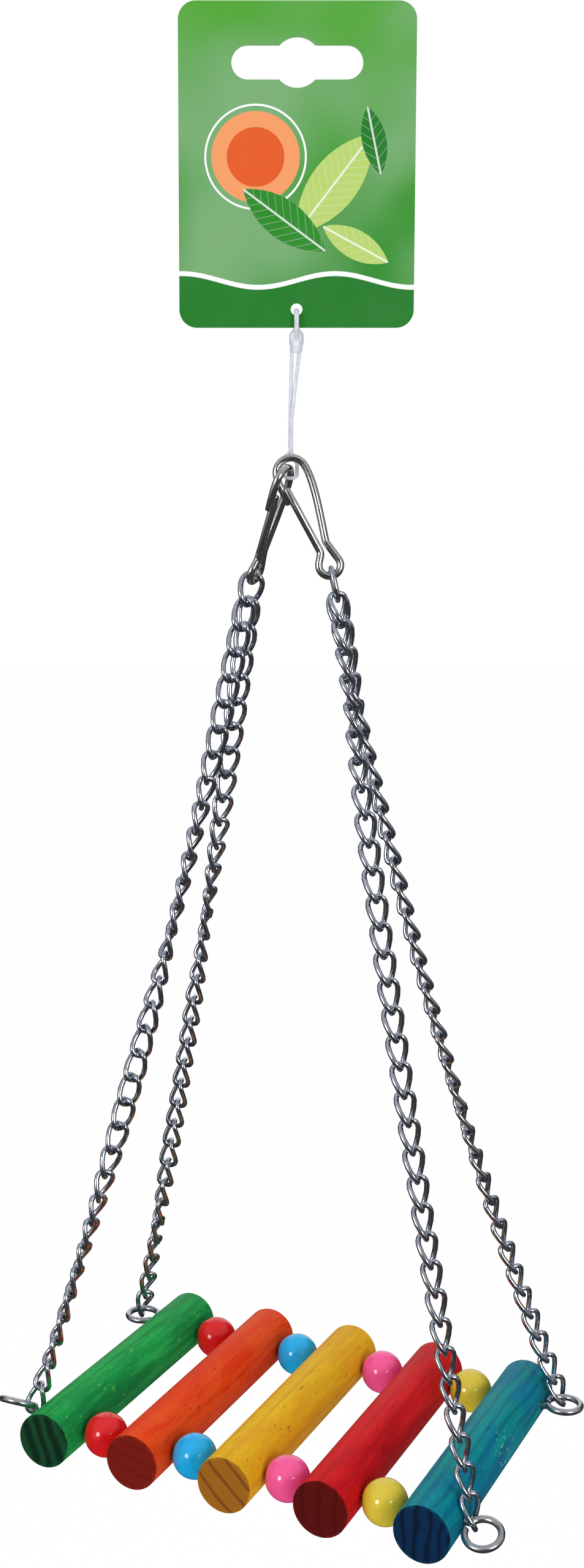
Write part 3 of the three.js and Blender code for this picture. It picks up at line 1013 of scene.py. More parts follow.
@dataclass(frozen=True)
class Metal:
    """Plated or drawn metal, a little smudged."""

    slot: str
    bright: Colour
    dull: Colour
    smooth: float
    rough: float
    smudge: float
    relief: float
    relief_strength: float = 0.4
    smudge_share: float = 0.7
    scratch_share: float = 0.3

    def material(self, effects: Effects) -> bpy.types.Material:
        """Build the material.

        Args:
            effects: The shared groups.

        Returns:
            The material.
        """
        m = MaterialGraph(self.slot)
        worn = m.effect(effects.handling, Vector=m.place(), Smudge_Size=self.smudge)
        level = m.math("ADD", m.math("MULTIPLY", worn["Smudge"], self.smudge_share),
                       m.math("MULTIPLY", worn["Scratch"], self.scratch_share))
        m.set(Base_Color=m.mix(worn["Smudge"], self.bright, self.dull), Metallic=1.0,
              Roughness=m.ease(level, 0.0, 1.0, self.smooth, self.rough))
        m.bump(worn["Height"], self.relief, self.relief_strength)
        return m.material


@dataclass(frozen=True)
class ClearPlastic:
    """Milky clear plastic of the tag loop."""

    slot: str = "clear_plastic"
    milk: Colour = srgb(232, 236, 243)
    shade: Colour = srgb(214, 220, 231)
    smudge: float = 2.0
    smooth: float = 0.26
    rough: float = 0.42
    clear: float = 0.3
    ior: float = 1.5
    relief: float = 0.05
    relief_strength: float = 0.3

    def material(self, effects: Effects) -> bpy.types.Material:
        """Build the material.

        Args:
            effects: The shared groups.

        Returns:
            The material.
        """
        m = MaterialGraph(self.slot)
        worn = m.effect(effects.handling, Vector=m.place(), Smudge_Size=self.smudge)
        m.set(Base_Color=m.mix(worn["Smudge"], self.milk, self.shade),
              Roughness=m.ease(worn["Smudge"], 0.0, 1.0, self.smooth, self.rough),
              Transmission_Weight=self.clear, IOR=self.ior)
        m.bump(worn["Height"], self.relief, self.relief_strength)
        return m.material


@dataclass(frozen=True)
class PrintedLeaf:
    """One leaf of the card's print: its middle, its turn, its size and its colour."""

    middle: Triple
    turn: float
    half_length: float
    half_width: float
    tint: Colour


@dataclass(frozen=True)
class PrintedCard:
    """Coated card with a plain print of leaves on soft green, white paper on its back and edges.

    Each pair of places or radii is the edge of a printed shape, from where it starts to show to
    where it covers fully.
    """

    slot: str = "printed_card"
    light: Colour = srgb(78, 158, 52)
    deep: Colour = srgb(44, 134, 42)
    mist: Colour = srgb(116, 166, 112)
    band: Colour = srgb(36, 120, 42)
    leaf: Colour = srgb(176, 202, 108)
    peach: Colour = srgb(232, 150, 98)
    orange: Colour = srgb(218, 88, 36)
    paper: Colour = srgb(238, 240, 238)
    paper_shade: Colour = srgb(226, 229, 226)
    fade: Pair = (8.0, -66.0)
    disc_middle: Triple = (-10.5, 0.0, -29.0)
    disc_edge: Pair = (11.3, 11.1)
    core_edge: Pair = (7.4, 7.2)
    ring_inside: Pair = (12.4, 12.55)
    ring_outside: Pair = (13.05, 12.9)
    vein_depth: float = 0.7
    wave_rate: float = 0.16
    wave_height: float = 1.7
    line_edge: Pair = (-58.7, -58.9)
    band_edge: Pair = (-59.9, -60.1)
    print_depth: Pair = (0.06, 0.03)
    fibre_scale: float = 1.6
    fibre_levels: Pair = (0.4, 0.7)
    smudge: float = 9.0
    smooth: float = 0.3
    rough: float = 0.42
    bare_roughness: float = 0.3
    shine: float = 0.2
    relief: float = 0.02
    relief_strength: float = 0.12

    CLOUDS = Mottle((0.032, 0.0, 0.032), 0.34, 0.7, detail=1.0, rough=0.4)
    LEAVES = (
        PrintedLeaf((9.5, 0.0, -35.5), -38.0, 15.5, 6.0, leaf),
        PrintedLeaf((-3.2, 0.0, -44.5), 54.0, 13.0, 4.8, deep),
        PrintedLeaf((15.0, 0.0, -50.5), 62.0, 9.5, 3.6, leaf),
        PrintedLeaf((19.5, 0.0, -25.0), 12.0, 8.5, 3.1, band),
    )

    def printed(self, m: MaterialGraph, effects: Effects,
                place: bpy.types.NodeSocket) -> bpy.types.NodeSocket:
        """Lay out the print.

        Args:
            m: The card's material.
            effects: The shared groups.
            place: The place on the card in millimetres.

        Returns:
            The colour of the printed face.
        """
        x, _, z = m.parts(place)
        ground = m.mix(m.ease(z, *self.fade), self.light, self.deep)
        ground = m.mix(self.CLOUDS.mask(m, place), ground, self.mist)

        away = m.vector("LENGTH", m.vector("SUBTRACT", m.vec(x, 0.0, z), self.disc_middle))
        ground = m.mix(m.ease(away, *self.disc_edge), ground, self.peach)
        ground = m.mix(m.ease(away, *self.core_edge), ground, self.orange)
        ring = m.math("MULTIPLY", m.ease(away, *self.ring_inside),
                      m.ease(away, *self.ring_outside))
        ground = m.mix(ring, ground, self.paper)

        for leaf in self.LEAVES:
            mark = m.effect(effects.leaf, Vector=place, Middle=leaf.middle,
                            Turn=math.radians(leaf.turn), Half_Length=leaf.half_length,
                            Half_Width=leaf.half_width)
            ground = m.mix(mark["Leaf"], ground, leaf.tint)
            ground = m.layer(ground, mark["Vein"], self.vein_depth, self.paper)

        swing = m.math("SINE", m.math("MULTIPLY", x, self.wave_rate))
        rise = m.math("SUBTRACT", z, m.math("MULTIPLY", swing, self.wave_height))
        ground = m.mix(m.ease(rise, *self.line_edge), ground, self.paper)
        return m.mix(m.ease(rise, *self.band_edge), ground, self.band)

    def material(self, effects: Effects, front: float) -> bpy.types.Material:
        """Build the material of the card.

        Args:
            effects: The shared groups.
            front: Where the printed face lies along Y, in millimetres.

        Returns:
            The material.
        """
        m = MaterialGraph(self.slot)
        place = m.place()
        _, y, _ = m.parts(place)
        start, full = self.print_depth
        inked = m.ease(y, front + start, front + full)
        fibre = m.noise(place, self.fibre_scale, detail=3.0, rough=0.6)
        bare = m.mix(m.ease(fibre, *self.fibre_levels), self.paper, self.paper_shade)
        worn = m.effect(effects.handling, Vector=place, Smudge_Size=self.smudge)
        gloss = m.ease(worn["Smudge"], 0.0, 1.0, self.smooth, self.rough)
        dull = m.math("MULTIPLY", m.math("SUBTRACT", 1.0, inked), self.bare_roughness)
        m.set(Base_Color=m.mix(inked, bare, self.printed(m, effects, place)),
              Roughness=m.math("ADD", gloss, dull), Specular_IOR_Level=self.shine)
        m.bump(fibre, self.relief, self.relief_strength)
        return m.material


@dataclass(frozen=True)
class Finishes:
    """The finishes of the card, the loop and the metal pieces."""

    card: PrintedCard = PrintedCard()
    loop: ClearPlastic = ClearPlastic()
    hook: Metal = Metal("hook_nickel", bright=srgb(204, 204, 203), dull=srgb(182, 182, 181),
                        smooth=0.18, rough=0.3, smudge=3.0, relief=0.004)
    chain: Metal = Metal("chain_nickel", bright=srgb(194, 200, 212), dull=srgb(170, 176, 188),
                         smooth=0.12, rough=0.22, smudge=2.2, relief=0.004)
    ladder_wire: Metal = Metal("galvanised_wire", bright=srgb(196, 198, 202),
                               dull=srgb(172, 175, 181), smooth=0.24, rough=0.36, smudge=1.6,
                               relief=0.006)


WOODS: dict[str, DyedWood] = {
    "green": DyedWood(
        "wood_green", base=srgb(20, 150, 68), late=srgb(6, 92, 46), pale=srgb(42, 178, 84),
        patch=srgb(10, 120, 60), fleck=srgb(98, 200, 78), end=srgb(14, 64, 36),
        end_late=srgb(4, 30, 20), pith=(-34.0, 0.0, -12.0), spacing=4.1, band=0.44, wander=6.0,
        ring_depth=0.5, streak_depth=0.6, patch_depth=0.5, end_depth=0.85),
    "orange": DyedWood(
        "wood_orange", base=srgb(210, 50, 4), late=srgb(158, 26, 4), pale=srgb(224, 80, 10),
        patch=srgb(220, 88, 30), fleck=srgb(158, 26, 10), end=srgb(110, 19, 8),
        end_late=srgb(92, 13, 6), pith=(10.0, 0.0, 34.0), spacing=3.4, band=0.2, wander=3.0,
        ring_depth=0.4, streak_depth=0.4, patch_depth=0.45, end_depth=0.45),
    "yellow": DyedWood(
        "wood_yellow", base=srgb(214, 166, 22), late=srgb(172, 116, 16), pale=srgb(226, 182, 40),
        patch=srgb(208, 140, 22), fleck=srgb(120, 76, 18), end=srgb(144, 90, 20),
        end_late=srgb(102, 55, 13), pith=(26.0, 0.0, 26.0), spacing=4.4, band=0.15, wander=3.0,
        ring_depth=0.35, streak_depth=0.4, patch_depth=0.45, end_depth=0.8),
    "red": DyedWood(
        "wood_red", base=srgb(196, 12, 20), late=srgb(144, 5, 13), pale=srgb(212, 36, 42),
        patch=srgb(164, 8, 18), fleck=srgb(112, 4, 12), end=srgb(82, 8, 6),
        end_late=srgb(62, 4, 4), pith=(38.0, 0.0, 2.0), spacing=4.2, band=0.22, wander=3.0,
        ring_depth=0.35, streak_depth=0.4, patch_depth=0.5, end_depth=0.5),
    "blue": DyedWood(
        "wood_blue", base=srgb(0, 126, 130), late=srgb(0, 76, 104), pale=srgb(10, 150, 146),
        patch=srgb(0, 96, 146), fleck=srgb(0, 62, 92), end=srgb(0, 36, 72),
        end_late=srgb(0, 16, 34), pith=(40.0, 0.0, 0.0), spacing=2.9, band=0.3, wander=7.0,
        ring_depth=0.6, streak_depth=0.45, patch_depth=0.5, end_depth=0.75,
        chip=srgb(186, 220, 218), chip_middle=(6.8, 1.0, 2.6), chip_reach=(5.5, 9.0, 5.5)),
}

LACQUERS: dict[str, Lacquer] = {
    "red": Lacquer("bead_red", srgb(214, 20, 26), srgb(192, 12, 20)),
    "blue": Lacquer("bead_blue", srgb(22, 166, 224), srgb(10, 142, 206)),
    "pink": Lacquer("bead_pink", srgb(236, 86, 148), srgb(220, 64, 130)),
    "yellow": Lacquer("bead_yellow", srgb(210, 188, 58), srgb(204, 176, 40)),
}


@dataclass
class HeaderCard:
    """The header card with its peg slot and the small hole of the loop.

    It is drawn flat, with its height along the drawing's Y, and then stood up.
    """

    width: float = 60.0
    top: float = 8.8
    bottom: float = -71.2
    thickness: float = 0.6
    corner: float = 4.5
    slot_length: float = 33.2
    slot_height: float = 8.2
    slot_bulge: float = 12.2
    slot_bend: float = 1.4
    slot_z: float = -6.1
    hole: float = 3.0
    hole_z: float = -66.6
    large_step: float = 5.0
    slot_end_step: float = 6.0
    hole_step: float = 8.0
    sharp: float = 30.0

    def outline(self) -> list[Vector]:
        """Draw the card's outer edge.

        Returns:
            Its points, counter-clockwise.
        """
        half, r = self.width / 2 - self.corner, self.corner
        low, high = self.bottom + r, self.top - r
        corners = ((half, low, -90), (half, high, 0), (-half, high, 90), (-half, low, 180))
        points: list[Vector] = []
        for x, y, start in corners:
            points += arc(Vector((x, y, 0)), r, RIGHT, BACK, start, start + 90, self.large_step)
        return points

    def slot(self) -> list[Vector]:
        """Draw the peg slot: long with round ends, and with a round bulge in its middle.

        Returns:
            The points of its edge.
        """
        r, bulge = self.slot_height / 2, self.slot_bulge / 2
        run = self.slot_length / 2 - r
        meet = math.degrees(math.asin(r / bulge))
        middle = Vector((0, self.slot_z, 0))
        points: list[Vector] = []
        for x, radius, start, end, step in (
            (run, r, -90, 90, self.slot_end_step),
            (0.0, bulge, meet, 180 - meet, self.large_step),
            (-run, r, 90, 270, self.slot_end_step),
            (0.0, bulge, 180 + meet, 360 - meet, self.large_step),
        ):
            points += arc(middle + RIGHT * x, radius, RIGHT, BACK, start, end, step)
        return soften(points, self.slot_bend, closed=True)

    def punched_hole(self) -> list[Vector]:
        """Draw the loop's hole, whose last point isn't its first."""
        middle, last = Vector((0, self.hole_z, 0)), 360 - self.hole_step
        return arc(middle, self.hole / 2, RIGHT, BACK, 0, last, self.hole_step)

    def build(self, effects: Effects, finish: PrintedCard) -> None:
        """Cut the card and dress it.

        Args:
            effects: The shared groups.
            finish: The card's finish.
        """
        curve = bpy.data.curves.new("header_card_cut", "CURVE")
        curve.dimensions = "2D"
        curve.fill_mode = "BOTH"
        curve.extrude = self.thickness / 2 * MM
        for edge in (self.outline(), self.slot(), self.punched_hole()):
            spline = curve.splines.new("POLY")
            spline.points.add(len(edge) - 1)
            for point, place in zip(spline.points, edge):
                point.co = (place.x * MM, place.y * MM, 0.0, 1.0)
            spline.use_cyclic_u = True
        flat = linked("header_card_cut", curve)
        mesh = evaluated_mesh(flat)
        bpy.data.objects.remove(flat)
        bpy.data.curves.remove(curve)
        mesh.name = "card_board"
        mesh.transform(Matrix.Rotation(math.radians(90), 4, "X"))
        finish_mesh(mesh, self.sharp)
        mesh.materials.clear()
        mesh.materials.append(finish.material(effects, -self.thickness / 2))
        seat(linked("card_board", mesh), "header_card", "card")


@dataclass(frozen=True)
class HookHang:
    """How one hook hangs: turned about the plumb line, tilted, leaning, and its gate bent aside."""

    turn: float
    tilt: float
    lean: float
    gate_aside: float

    def matrix(self) -> Matrix:
        """Give the hook's rotation."""
        turn, lean, tilt = map(math.radians, (self.turn, self.lean, -self.tilt))
        return (Matrix.Rotation(turn, 3, "Z") @ Matrix.Rotation(lean, 3, "X")
                @ Matrix.Rotation(tilt, 3, "Y"))


@dataclass
class SnapHooks:
    """Two snap hooks of bent spring wire: the left one hangs in the right one's arch, on the loop.

    A hook's own origin is the middle of its arch. Its wire runs from the nose over the arch, down
    the spine to the waist, round the eye and up the gate.
    """

    wire: float = 2.0
    arch: float = 3.9
    shoulder: float = 18.0
    waist: float = -19.5
    spine_top_pull: float = 5.0
    spine_foot_pull: float = 7.0
    spine_bow: float = 0.05
    spine_steps: int = 14
    eye: float = 2.8
    eye_x: float = 3.3
    eye_z: float = -25.5
    eye_starts_at: float = 25.0
    eye_ends_at: float = -205.0
    nose_length: float = 8.0
    nose_turn: float = 13.0
    tip_below: float = 4.0
    root_inset: float = 0.4
    root_gap: float = 0.02
    bend: float = 2.2
    gap: float = 0.3
    crossing: float = 38.0
    tag_angle: float = 52.0
    tag_seat: Vector = Vector((-1.4, 0.0, -107.9))
    right: HookHang = HookHang(turn=0.0, tilt=15.2, lean=-6.3, gate_aside=2.1)
    left: HookHang = HookHang(turn=66.0, tilt=4.0, lean=23.0, gate_aside=0.0)
    sides: int = 20
    body_ends: Pair = (0.35, 0.0)
    gate_ends: Pair = (1.0, 0.5)

    def hang(self, side: Side) -> HookHang:
        """Give the hang of one hook."""
        return self.left if side is Side.LEFT else self.right

    def tag_frame(self) -> tuple[Vector, Vector]:
        """Find how the loop lies where it goes round the left arch.

        Returns:
            The direction outwards from the arch, and the one across its wire.
        """
        turn = self.left.matrix()
        angle = math.radians(self.tag_angle)
        return turn @ Vector((math.sin(angle), 0, math.cos(angle))), turn @ BACK

    def matrix(self, side: Side) -> Matrix:
        """Place a hook.

        Args:
            side: Which hook.

        Returns:
            Its matrix in millimetres.
        """
        angle = math.radians(self.crossing)
        reach = self.arch - self.wire - self.gap
        crest = Vector((-math.sin(angle), 0, math.cos(angle))) * reach
        left_arch = crest - self.left.matrix() @ Vector((0, 0, self.arch))
        outward, _ = self.tag_frame()
        origin = self.tag_seat - (left_arch + outward * self.arch)
        middle = origin + left_arch if side is Side.LEFT else origin
        return Matrix.Translation(middle) @ self.hang(side).matrix().to_4x4()

    def eye_bottom(self, side: Side) -> tuple[Vector, Vector]:
        """Find where a hook's eye carries its top link.

        Args:
            side: Which hook.

        Returns:
            The lowest point of the eye, and the direction of its wire there.
        """
        matrix = self.matrix(side)
        lowest = Vector((self.eye_x, 0, self.eye_z - self.eye))
        return matrix @ lowest, matrix.to_3x3() @ RIGHT

    def spine(self) -> list[Vector]:
        """Lay the spine from the arch to the waist, a little bowed outwards.

        Returns:
            Its points after the arch's last one.
        """
        angle = math.radians(self.shoulder)
        first = Vector((math.cos(angle), 0, math.sin(angle))) * self.arch
        last = Vector((self.arch, 0, self.waist))
        second = first + Vector((math.sin(angle), 0, -math.cos(angle))) * self.spine_top_pull
        third = last + Vector((self.spine_bow, 0, 1.0)) * self.spine_foot_pull
        points = []
        for k in range(1, self.spine_steps + 1):
            t = k / self.spine_steps
            points.append(first * (1 - t) ** 3 + second * (3 * t * (1 - t) ** 2)
                          + third * (3 * t * t * (1 - t)) + last * t ** 3)
        return points

    def paths(self, side: Side) -> tuple[list[Vector], list[Vector]]:
        """Lay the wire of a hook in its own frame.

        Args:
            side: Which hook.

        Returns:
            The path of the body from its nose to the gate's root, and the path of the gate.
        """
        nose_bend = Vector((-self.arch, 0, -self.tip_below / 2))
        angle = math.radians(self.nose_turn)
        nose_way = Vector((math.sin(angle), 0, -math.cos(angle)))
        nose_inward = Vector((math.cos(angle), 0, math.sin(angle)))
        aside = self.hang(side).gate_aside
        inward = math.sqrt((self.wire + self.gap) ** 2 - aside ** 2)
        tip = (nose_bend + nose_way * (self.tip_below / 2) + nose_inward * inward
               + Vector((0, -aside, 0)))
        root = Vector((self.arch - self.wire - self.root_inset, 0, self.waist - self.root_inset))
        gate_way = (tip - root).normalized()
        body = [nose_bend + nose_way * (self.nose_length - self.tip_below / 2), nose_bend]
        body += arc(Vector((0, 0, 0)), self.arch, RIGHT, UP, 180, self.shoulder)
        body += self.spine()
        body += arc(Vector((self.eye_x, 0, self.eye_z)), self.eye, RIGHT, UP, self.eye_starts_at,
                    self.eye_ends_at)
        body += [root - gate_way * self.wire, root - gate_way * self.root_gap]
        gate = [root - gate_way * (self.wire / 2), root.lerp(tip, 0.5), tip]
        return soften(body, self.bend), gate

    def build(self, effects: Effects, finish: Metal) -> None:
        """Bend both hooks and dress them.

        Args:
            effects: The shared groups.
            finish: Their metal.
        """
        material = finish.material(effects)
        for side in Side:
            name, matrix = f"hook_{side.value}", self.matrix(side)
            body, gate = self.paths(side)
            skin = moved(wire_skin(body, self.wire, self.sides, self.body_ends), matrix)
            seat(mesh_object(f"{name}_body", skin, material), name, "hooks")
            skin = moved(wire_skin(gate, self.wire, self.sides, self.gate_ends), matrix)
            seat(mesh_object(f"{name}_spring", skin, material), f"{name}_gate",
                 f"gate_{side.value}")


@dataclass
class TagLoop:
    """The plastic loop: a strap through the card's hole, a lock head, two strands round the arch.

    HEAD_LEVELS gives the lock head's height above head_top, its width and its depth, downwards.
    """

    strand: float = 0.95
    strand_bend: float = 3.0
    strap_share: float = 1.35
    strap_y: float = 1.5
    strap_bend: float = 1.0
    spread: float = 2.2
    pivot_z: float = -66.9
    head_top: float = -72.5
    head_middle: float = -74.1
    head_power: float = 0.62
    head_sides: int = 28
    length: float = 41.0
    pinch: float = 5.2
    clear_of_arch: float = 3.4
    seat_radius: float = 1.95
    sides: int = 14
    sharp: float = 60.0

    HEAD_LEVELS = ((1.5, 1.2, 1.6), (0.7, 1.9, 2.6), (0.1, 3.2, 3.4), (-0.5, 3.7, 3.5),
                   (-2.3, 3.7, 3.4), (-3.1, 3.4, 2.6), (-4.0, 3.1, 1.7), (-4.9, 2.7, 1.1))
    STRANDS_APART = Vector((0.25, -0.9, 0.0))

    def head(self) -> Skin:
        """Mould the lock head: rounded, narrow at the strap, wedged towards the strands.

        Returns:
            Vertices and faces of the closed skin.
        """
        rings, sides = len(self.HEAD_LEVELS), self.head_sides
        verts: list[Vector] = []
        for level, width, depth in self.HEAD_LEVELS:
            for k in range(sides):
                angle = 2 * math.pi * k / sides
                c, s = math.cos(angle), math.sin(angle)
                x = math.copysign(abs(c) ** self.head_power, c) * width / 2
                y = math.copysign(abs(s) ** self.head_power, s) * depth / 2
                verts.append(Vector((x, y, self.head_top + level)))
        top, bottom = range(sides), range((rings - 1) * sides, rings * sides)
        return verts, [*ring_faces(rings, sides), tuple(top), tuple(reversed(bottom))]

    def strap_path(self) -> list[Vector]:
        """Lay the strap from the front of the head up through the card's hole and down behind it.

        Returns:
            Its path.
        """
        bend = Vector((0, 0, self.pivot_z - self.strap_y))
        return soften([Vector((0, -self.strap_y, self.head_middle)),
                       *arc(bend, self.strap_y, -BACK, UP, 0, 180),
                       Vector((0, self.strap_y, self.head_middle))], self.strap_bend)

    def strand_path(self, hooks: SnapHooks) -> list[Vector]:
        """Lay both strands as one path, down to the left arch, round it and up again.

        Args:
            hooks: The hooks that the loop carries.

        Returns:
            Its path.
        """
        outward, across = hooks.tag_frame()
        seat_at, half = hooks.tag_seat, self.spread / 2
        upper, pinch = seat_at + UP * (self.length / 3), seat_at + UP * self.pinch
        aside, beside = self.STRANDS_APART * half / 2, seat_at + UP * self.clear_of_arch
        return soften([Vector((half, 0, self.head_middle)), upper + aside, pinch + aside,
                       beside - across * self.seat_radius,
                       *arc(seat_at, self.seat_radius, across, outward, 180, 360),
                       beside + across * self.seat_radius, pinch - aside, upper - aside,
                       Vector((-half, 0, self.head_middle))], self.strand_bend)

    def build(self, effects: Effects, finish: ClearPlastic, hooks: SnapHooks) -> None:
        """Mould the loop and dress it.

        Args:
            effects: The shared groups.
            finish: Its plastic.
            hooks: The hooks that it carries.
        """
        skin = joined([
            self.head(),
            wire_skin(self.strap_path(), self.strand * self.strap_share, self.sides),
            wire_skin(self.strand_path(hooks), self.strand, self.sides),
        ])
        obj = mesh_object("loop_moulding", skin, finish.material(effects), self.sharp)
        seat(obj, "tag_loop", "loop")


@dataclass(frozen=True)
class LadderEye:
    """How one eye of the ladder is bent: its roll, its lift, and where on it a chain rests."""

    roll: float
    lift: float
    seat_angle: float


@dataclass
class Ladder:
    """Five dowels on two wires that end in eyes, with a bead on each wire between two dowels."""

    turn: float = -25.4
    height: float = -366.5858
    pitch: float = 27.1
    dowel: float = 15.0
    dowel_length: float = 88.0
    dowel_sides: int = 72
    broken_edge: float = 0.3
    end_ring: float = 0.55
    bead: float = 11.9
    bead_sides: int = 48
    bead_steps: int = 26
    bore: float = 2.4
    bore_sides: int = 28
    drill_over: float = 2.0
    mouth: float = 0.25
    mouth_round: Pair = (0.07, 0.06)
    mouth_depth: float = 0.26
    wire: float = 1.8
    wire_y: float = 33.5
    wire_bend: float = 1.6
    wire_sides: int = 18
    wire_ends: Pair = (0.25, 0.25)
    eye: float = 4.6
    eye_offset: float = 2.4
    eye_gap: float = 0.8
    eye_closes_at: float = 185.0
    dowel_sharp: float = 40.0

    EDGE_ANGLES = (0, 30, 60, 90)
    EYES = {
        Corner.FRONT_LEFT: LadderEye(roll=30.0, lift=3.4, seat_angle=-150.0),
        Corner.FRONT_RIGHT: LadderEye(roll=-20.0, lift=0.0, seat_angle=-138.0),
        Corner.BACK_LEFT: LadderEye(roll=0.0, lift=1.2, seat_angle=60.0),
        Corner.BACK_RIGHT: LadderEye(roll=0.0, lift=0.4, seat_angle=115.0),
    }

    @property
    def matrix(self) -> Matrix:
        """Place the ladder in the frame, in millimetres."""
        turn = Matrix.Rotation(math.radians(self.turn), 4, "Z")
        return Matrix.Translation((0, 0, self.height)) @ turn

    @property
    def end(self) -> float:
        """How far the outer dowels reach along the ladder."""
        return 2 * self.pitch + self.dowel / 2

    @property
    def eye_x(self) -> float:
        """Where an eye's middle lies along the ladder."""
        opening = math.asin(self.eye_offset / self.eye)
        return self.end + self.eye_gap + self.wire / 2 + self.eye * math.cos(opening)

    def eye_seat(self, corner: Corner) -> Vector:
        """Give the point of an eye on which a chain's last link rests, from the ladder's middle.

        Args:
            corner: Which corner.

        Returns:
            The point, turned with the ladder.
        """
        x, y = corner.signs
        eye = self.EYES[corner]
        angle, roll = math.radians(eye.seat_angle), math.radians(eye.roll)
        outward = self.eye_offset + self.eye * math.sin(angle)
        point = Vector((x * (self.eye_x + self.eye * math.cos(angle)),
                        y * (self.wire_y + outward * math.cos(roll)),
                        eye.lift + outward * math.sin(roll)))
        return turn_about(UP, self.turn) @ point

    def wire_path(self, row: Row) -> list[Vector]:
        """Lay one wire with its two eyes.

        Args:
            row: Which wire.

        Returns:
            Its path in the ladder's own frame.
        """
        runs: dict[int, list[Vector]] = {}
        for corner in Corner:
            if corner.row is not row:
                continue
            x, y = corner.signs
            roll, lift = math.radians(self.EYES[corner].roll), self.EYES[corner].lift
            outward = Vector((0, y * math.cos(roll), math.sin(roll)))
            centre = Vector((x * self.eye_x, y * self.wire_y, lift)) + outward * self.eye_offset
            end = 180 - math.degrees(math.asin(self.eye_offset / self.eye))
            leave = Vector((x * (self.end + self.eye_gap / 2), y * self.wire_y, 0))
            runs[x] = [leave, *arc(centre, self.eye, Vector((x, 0, 0)), outward, -end,
                                   self.eye_closes_at)]
        return soften([*reversed(runs[-1]), *runs[1]], self.wire_bend)

    def dowel_skin(self) -> Skin:
        """Turn one dowel with its edges just broken.

        Returns:
            Vertices and faces of the closed skin.
        """
        r, half, broken = self.dowel / 2, self.dowel_length / 2, self.broken_edge
        edge = []
        for a in map(math.radians, self.EDGE_ANGLES):
            edge.append((r - broken + broken * math.sin(a), half - broken + broken * math.cos(a)))
        front = [(radius, -along) for radius, along in edge]
        inner = r * self.end_ring
        return lathe([(inner, -half), *front, *reversed(edge), (inner, half)], self.dowel_sides,
                     closed=False)

    def drill(self, obj: bpy.types.Object, x: float) -> None:
        """Drill the two bores of a dowel.

        Args:
            obj: The dowel, already in place.
            x: Where it lies along the ladder.
        """
        along = Matrix.Rotation(math.radians(90), 4, "Z")
        r, half = self.bore / 2, self.dowel / 2 + self.drill_over
        rods = []
        for y in (-self.wire_y, self.wire_y):
            rod = lathe([(r, -half), (r, half)], self.bore_sides, closed=False)
            rods.append(moved(rod, self.matrix @ Matrix.Translation((x, y, 0)) @ along))
        tool = mesh_object("drill", joined(rods))
        cut = obj.modifiers.new("bores", "BOOLEAN")
        cut.operation = "DIFFERENCE"
        cut.solver = "EXACT"
        cut.object = tool
        bake(obj)
        bpy.data.objects.remove(tool)
        finish_mesh(obj.data, self.dowel_sharp)

    def bead_skin(self) -> Skin:
        """Turn one bored ball, the edges of its bore rounded.

        Returns:
            Vertices and faces of the closed skin.
        """
        r, bore = self.bead / 2, self.bore / 2
        start = math.asin((bore + self.mouth) / r)
        profile = []
        for i in range(self.bead_steps + 1):
            angle = start + (math.pi - 2 * start) * i / self.bead_steps
            profile.append((r * math.sin(angle), -r * math.cos(angle)))
        lip = profile[-1][1]
        wide, below = self.mouth_round
        profile += [(bore + wide, lip - below), (bore, lip - self.mouth_depth),
                    (bore, -lip + self.mouth_depth), (bore + wide, -lip + below)]
        return lathe(profile, self.bead_sides, closed=True)

    def build(self, effects: Effects, finish: Metal) -> None:
        """Make the dowels, wires and beads and dress them.

        Args:
            effects: The shared groups.
            finish: The wires' metal.
        """
        for i, (name, wood) in enumerate(WOODS.items()):
            x = (i - (len(WOODS) - 1) / 2) * self.pitch
            place = self.matrix @ Matrix.Translation((x, 0, 0))
            obj = mesh_object(f"dowel_{name}", moved(self.dowel_skin(), place))
            self.drill(obj, x)
            obj.data.materials.clear()
            obj.data.materials.append(wood.material(effects, place.translation, self.turn,
                                                    self.dowel_length, self.dowel))
            seat(obj, f"rung_{name}", "ladder")

        metal = finish.material(effects)
        lacquer = {name: paint.material(effects) for name, paint in LACQUERS.items()}
        along = Matrix.Rotation(math.radians(-90), 4, "Z")
        for row in Row:
            skin = wire_skin(self.wire_path(row), self.wire, self.wire_sides, self.wire_ends)
            obj = mesh_object(f"ladder_wire_{row.label}", moved(skin, self.matrix), metal)
            seat(obj, f"wire_{row.label}", "ladder")
            for i, (name, paint) in enumerate(LACQUERS.items()):
                x, y = (i - (len(LACQUERS) - 1) / 2) * self.pitch, row.sign * self.wire_y
                place = self.matrix @ Matrix.Translation((x, y, 0)) @ along
                node = f"bead_{row.label}_{name}"
                obj = mesh_object(f"ball_{row.label}_{name}", moved(self.bead_skin(), place),
                                  lacquer[name])
                seat(obj, node, node)


@dataclass(frozen=True)
class ChainLay:
    """How a chain hangs: the roll of its links at equal steps down it, and its sag by its lean."""

    rolls: tuple[float, ...]
    sag: float

    def roll(self, share: float) -> float:
        """Give the roll of a link.

        Args:
            share: How far down the chain it is, from 0 to 1.

        Returns:
            Its roll in degrees.
        """
        step = share * (len(self.rolls) - 1)
        before = min(int(step), len(self.rolls) - 2)
        return self.rolls[before] + (self.rolls[before + 1] - self.rolls[before]) * (step - before)


@dataclass(frozen=True)
class LinkPlace:
    """Where one link is: its middle, and the directions of its length and its width there."""

    middle: Vector
    up: Vector
    way: Vector


@dataclass(frozen=True)
class LinkMake:
    """How a link is made: its width, its wire, how square its ring is, and how fine its mesh."""

    half_width: float
    wire: float
    power: float
    steps: int
    sides: int


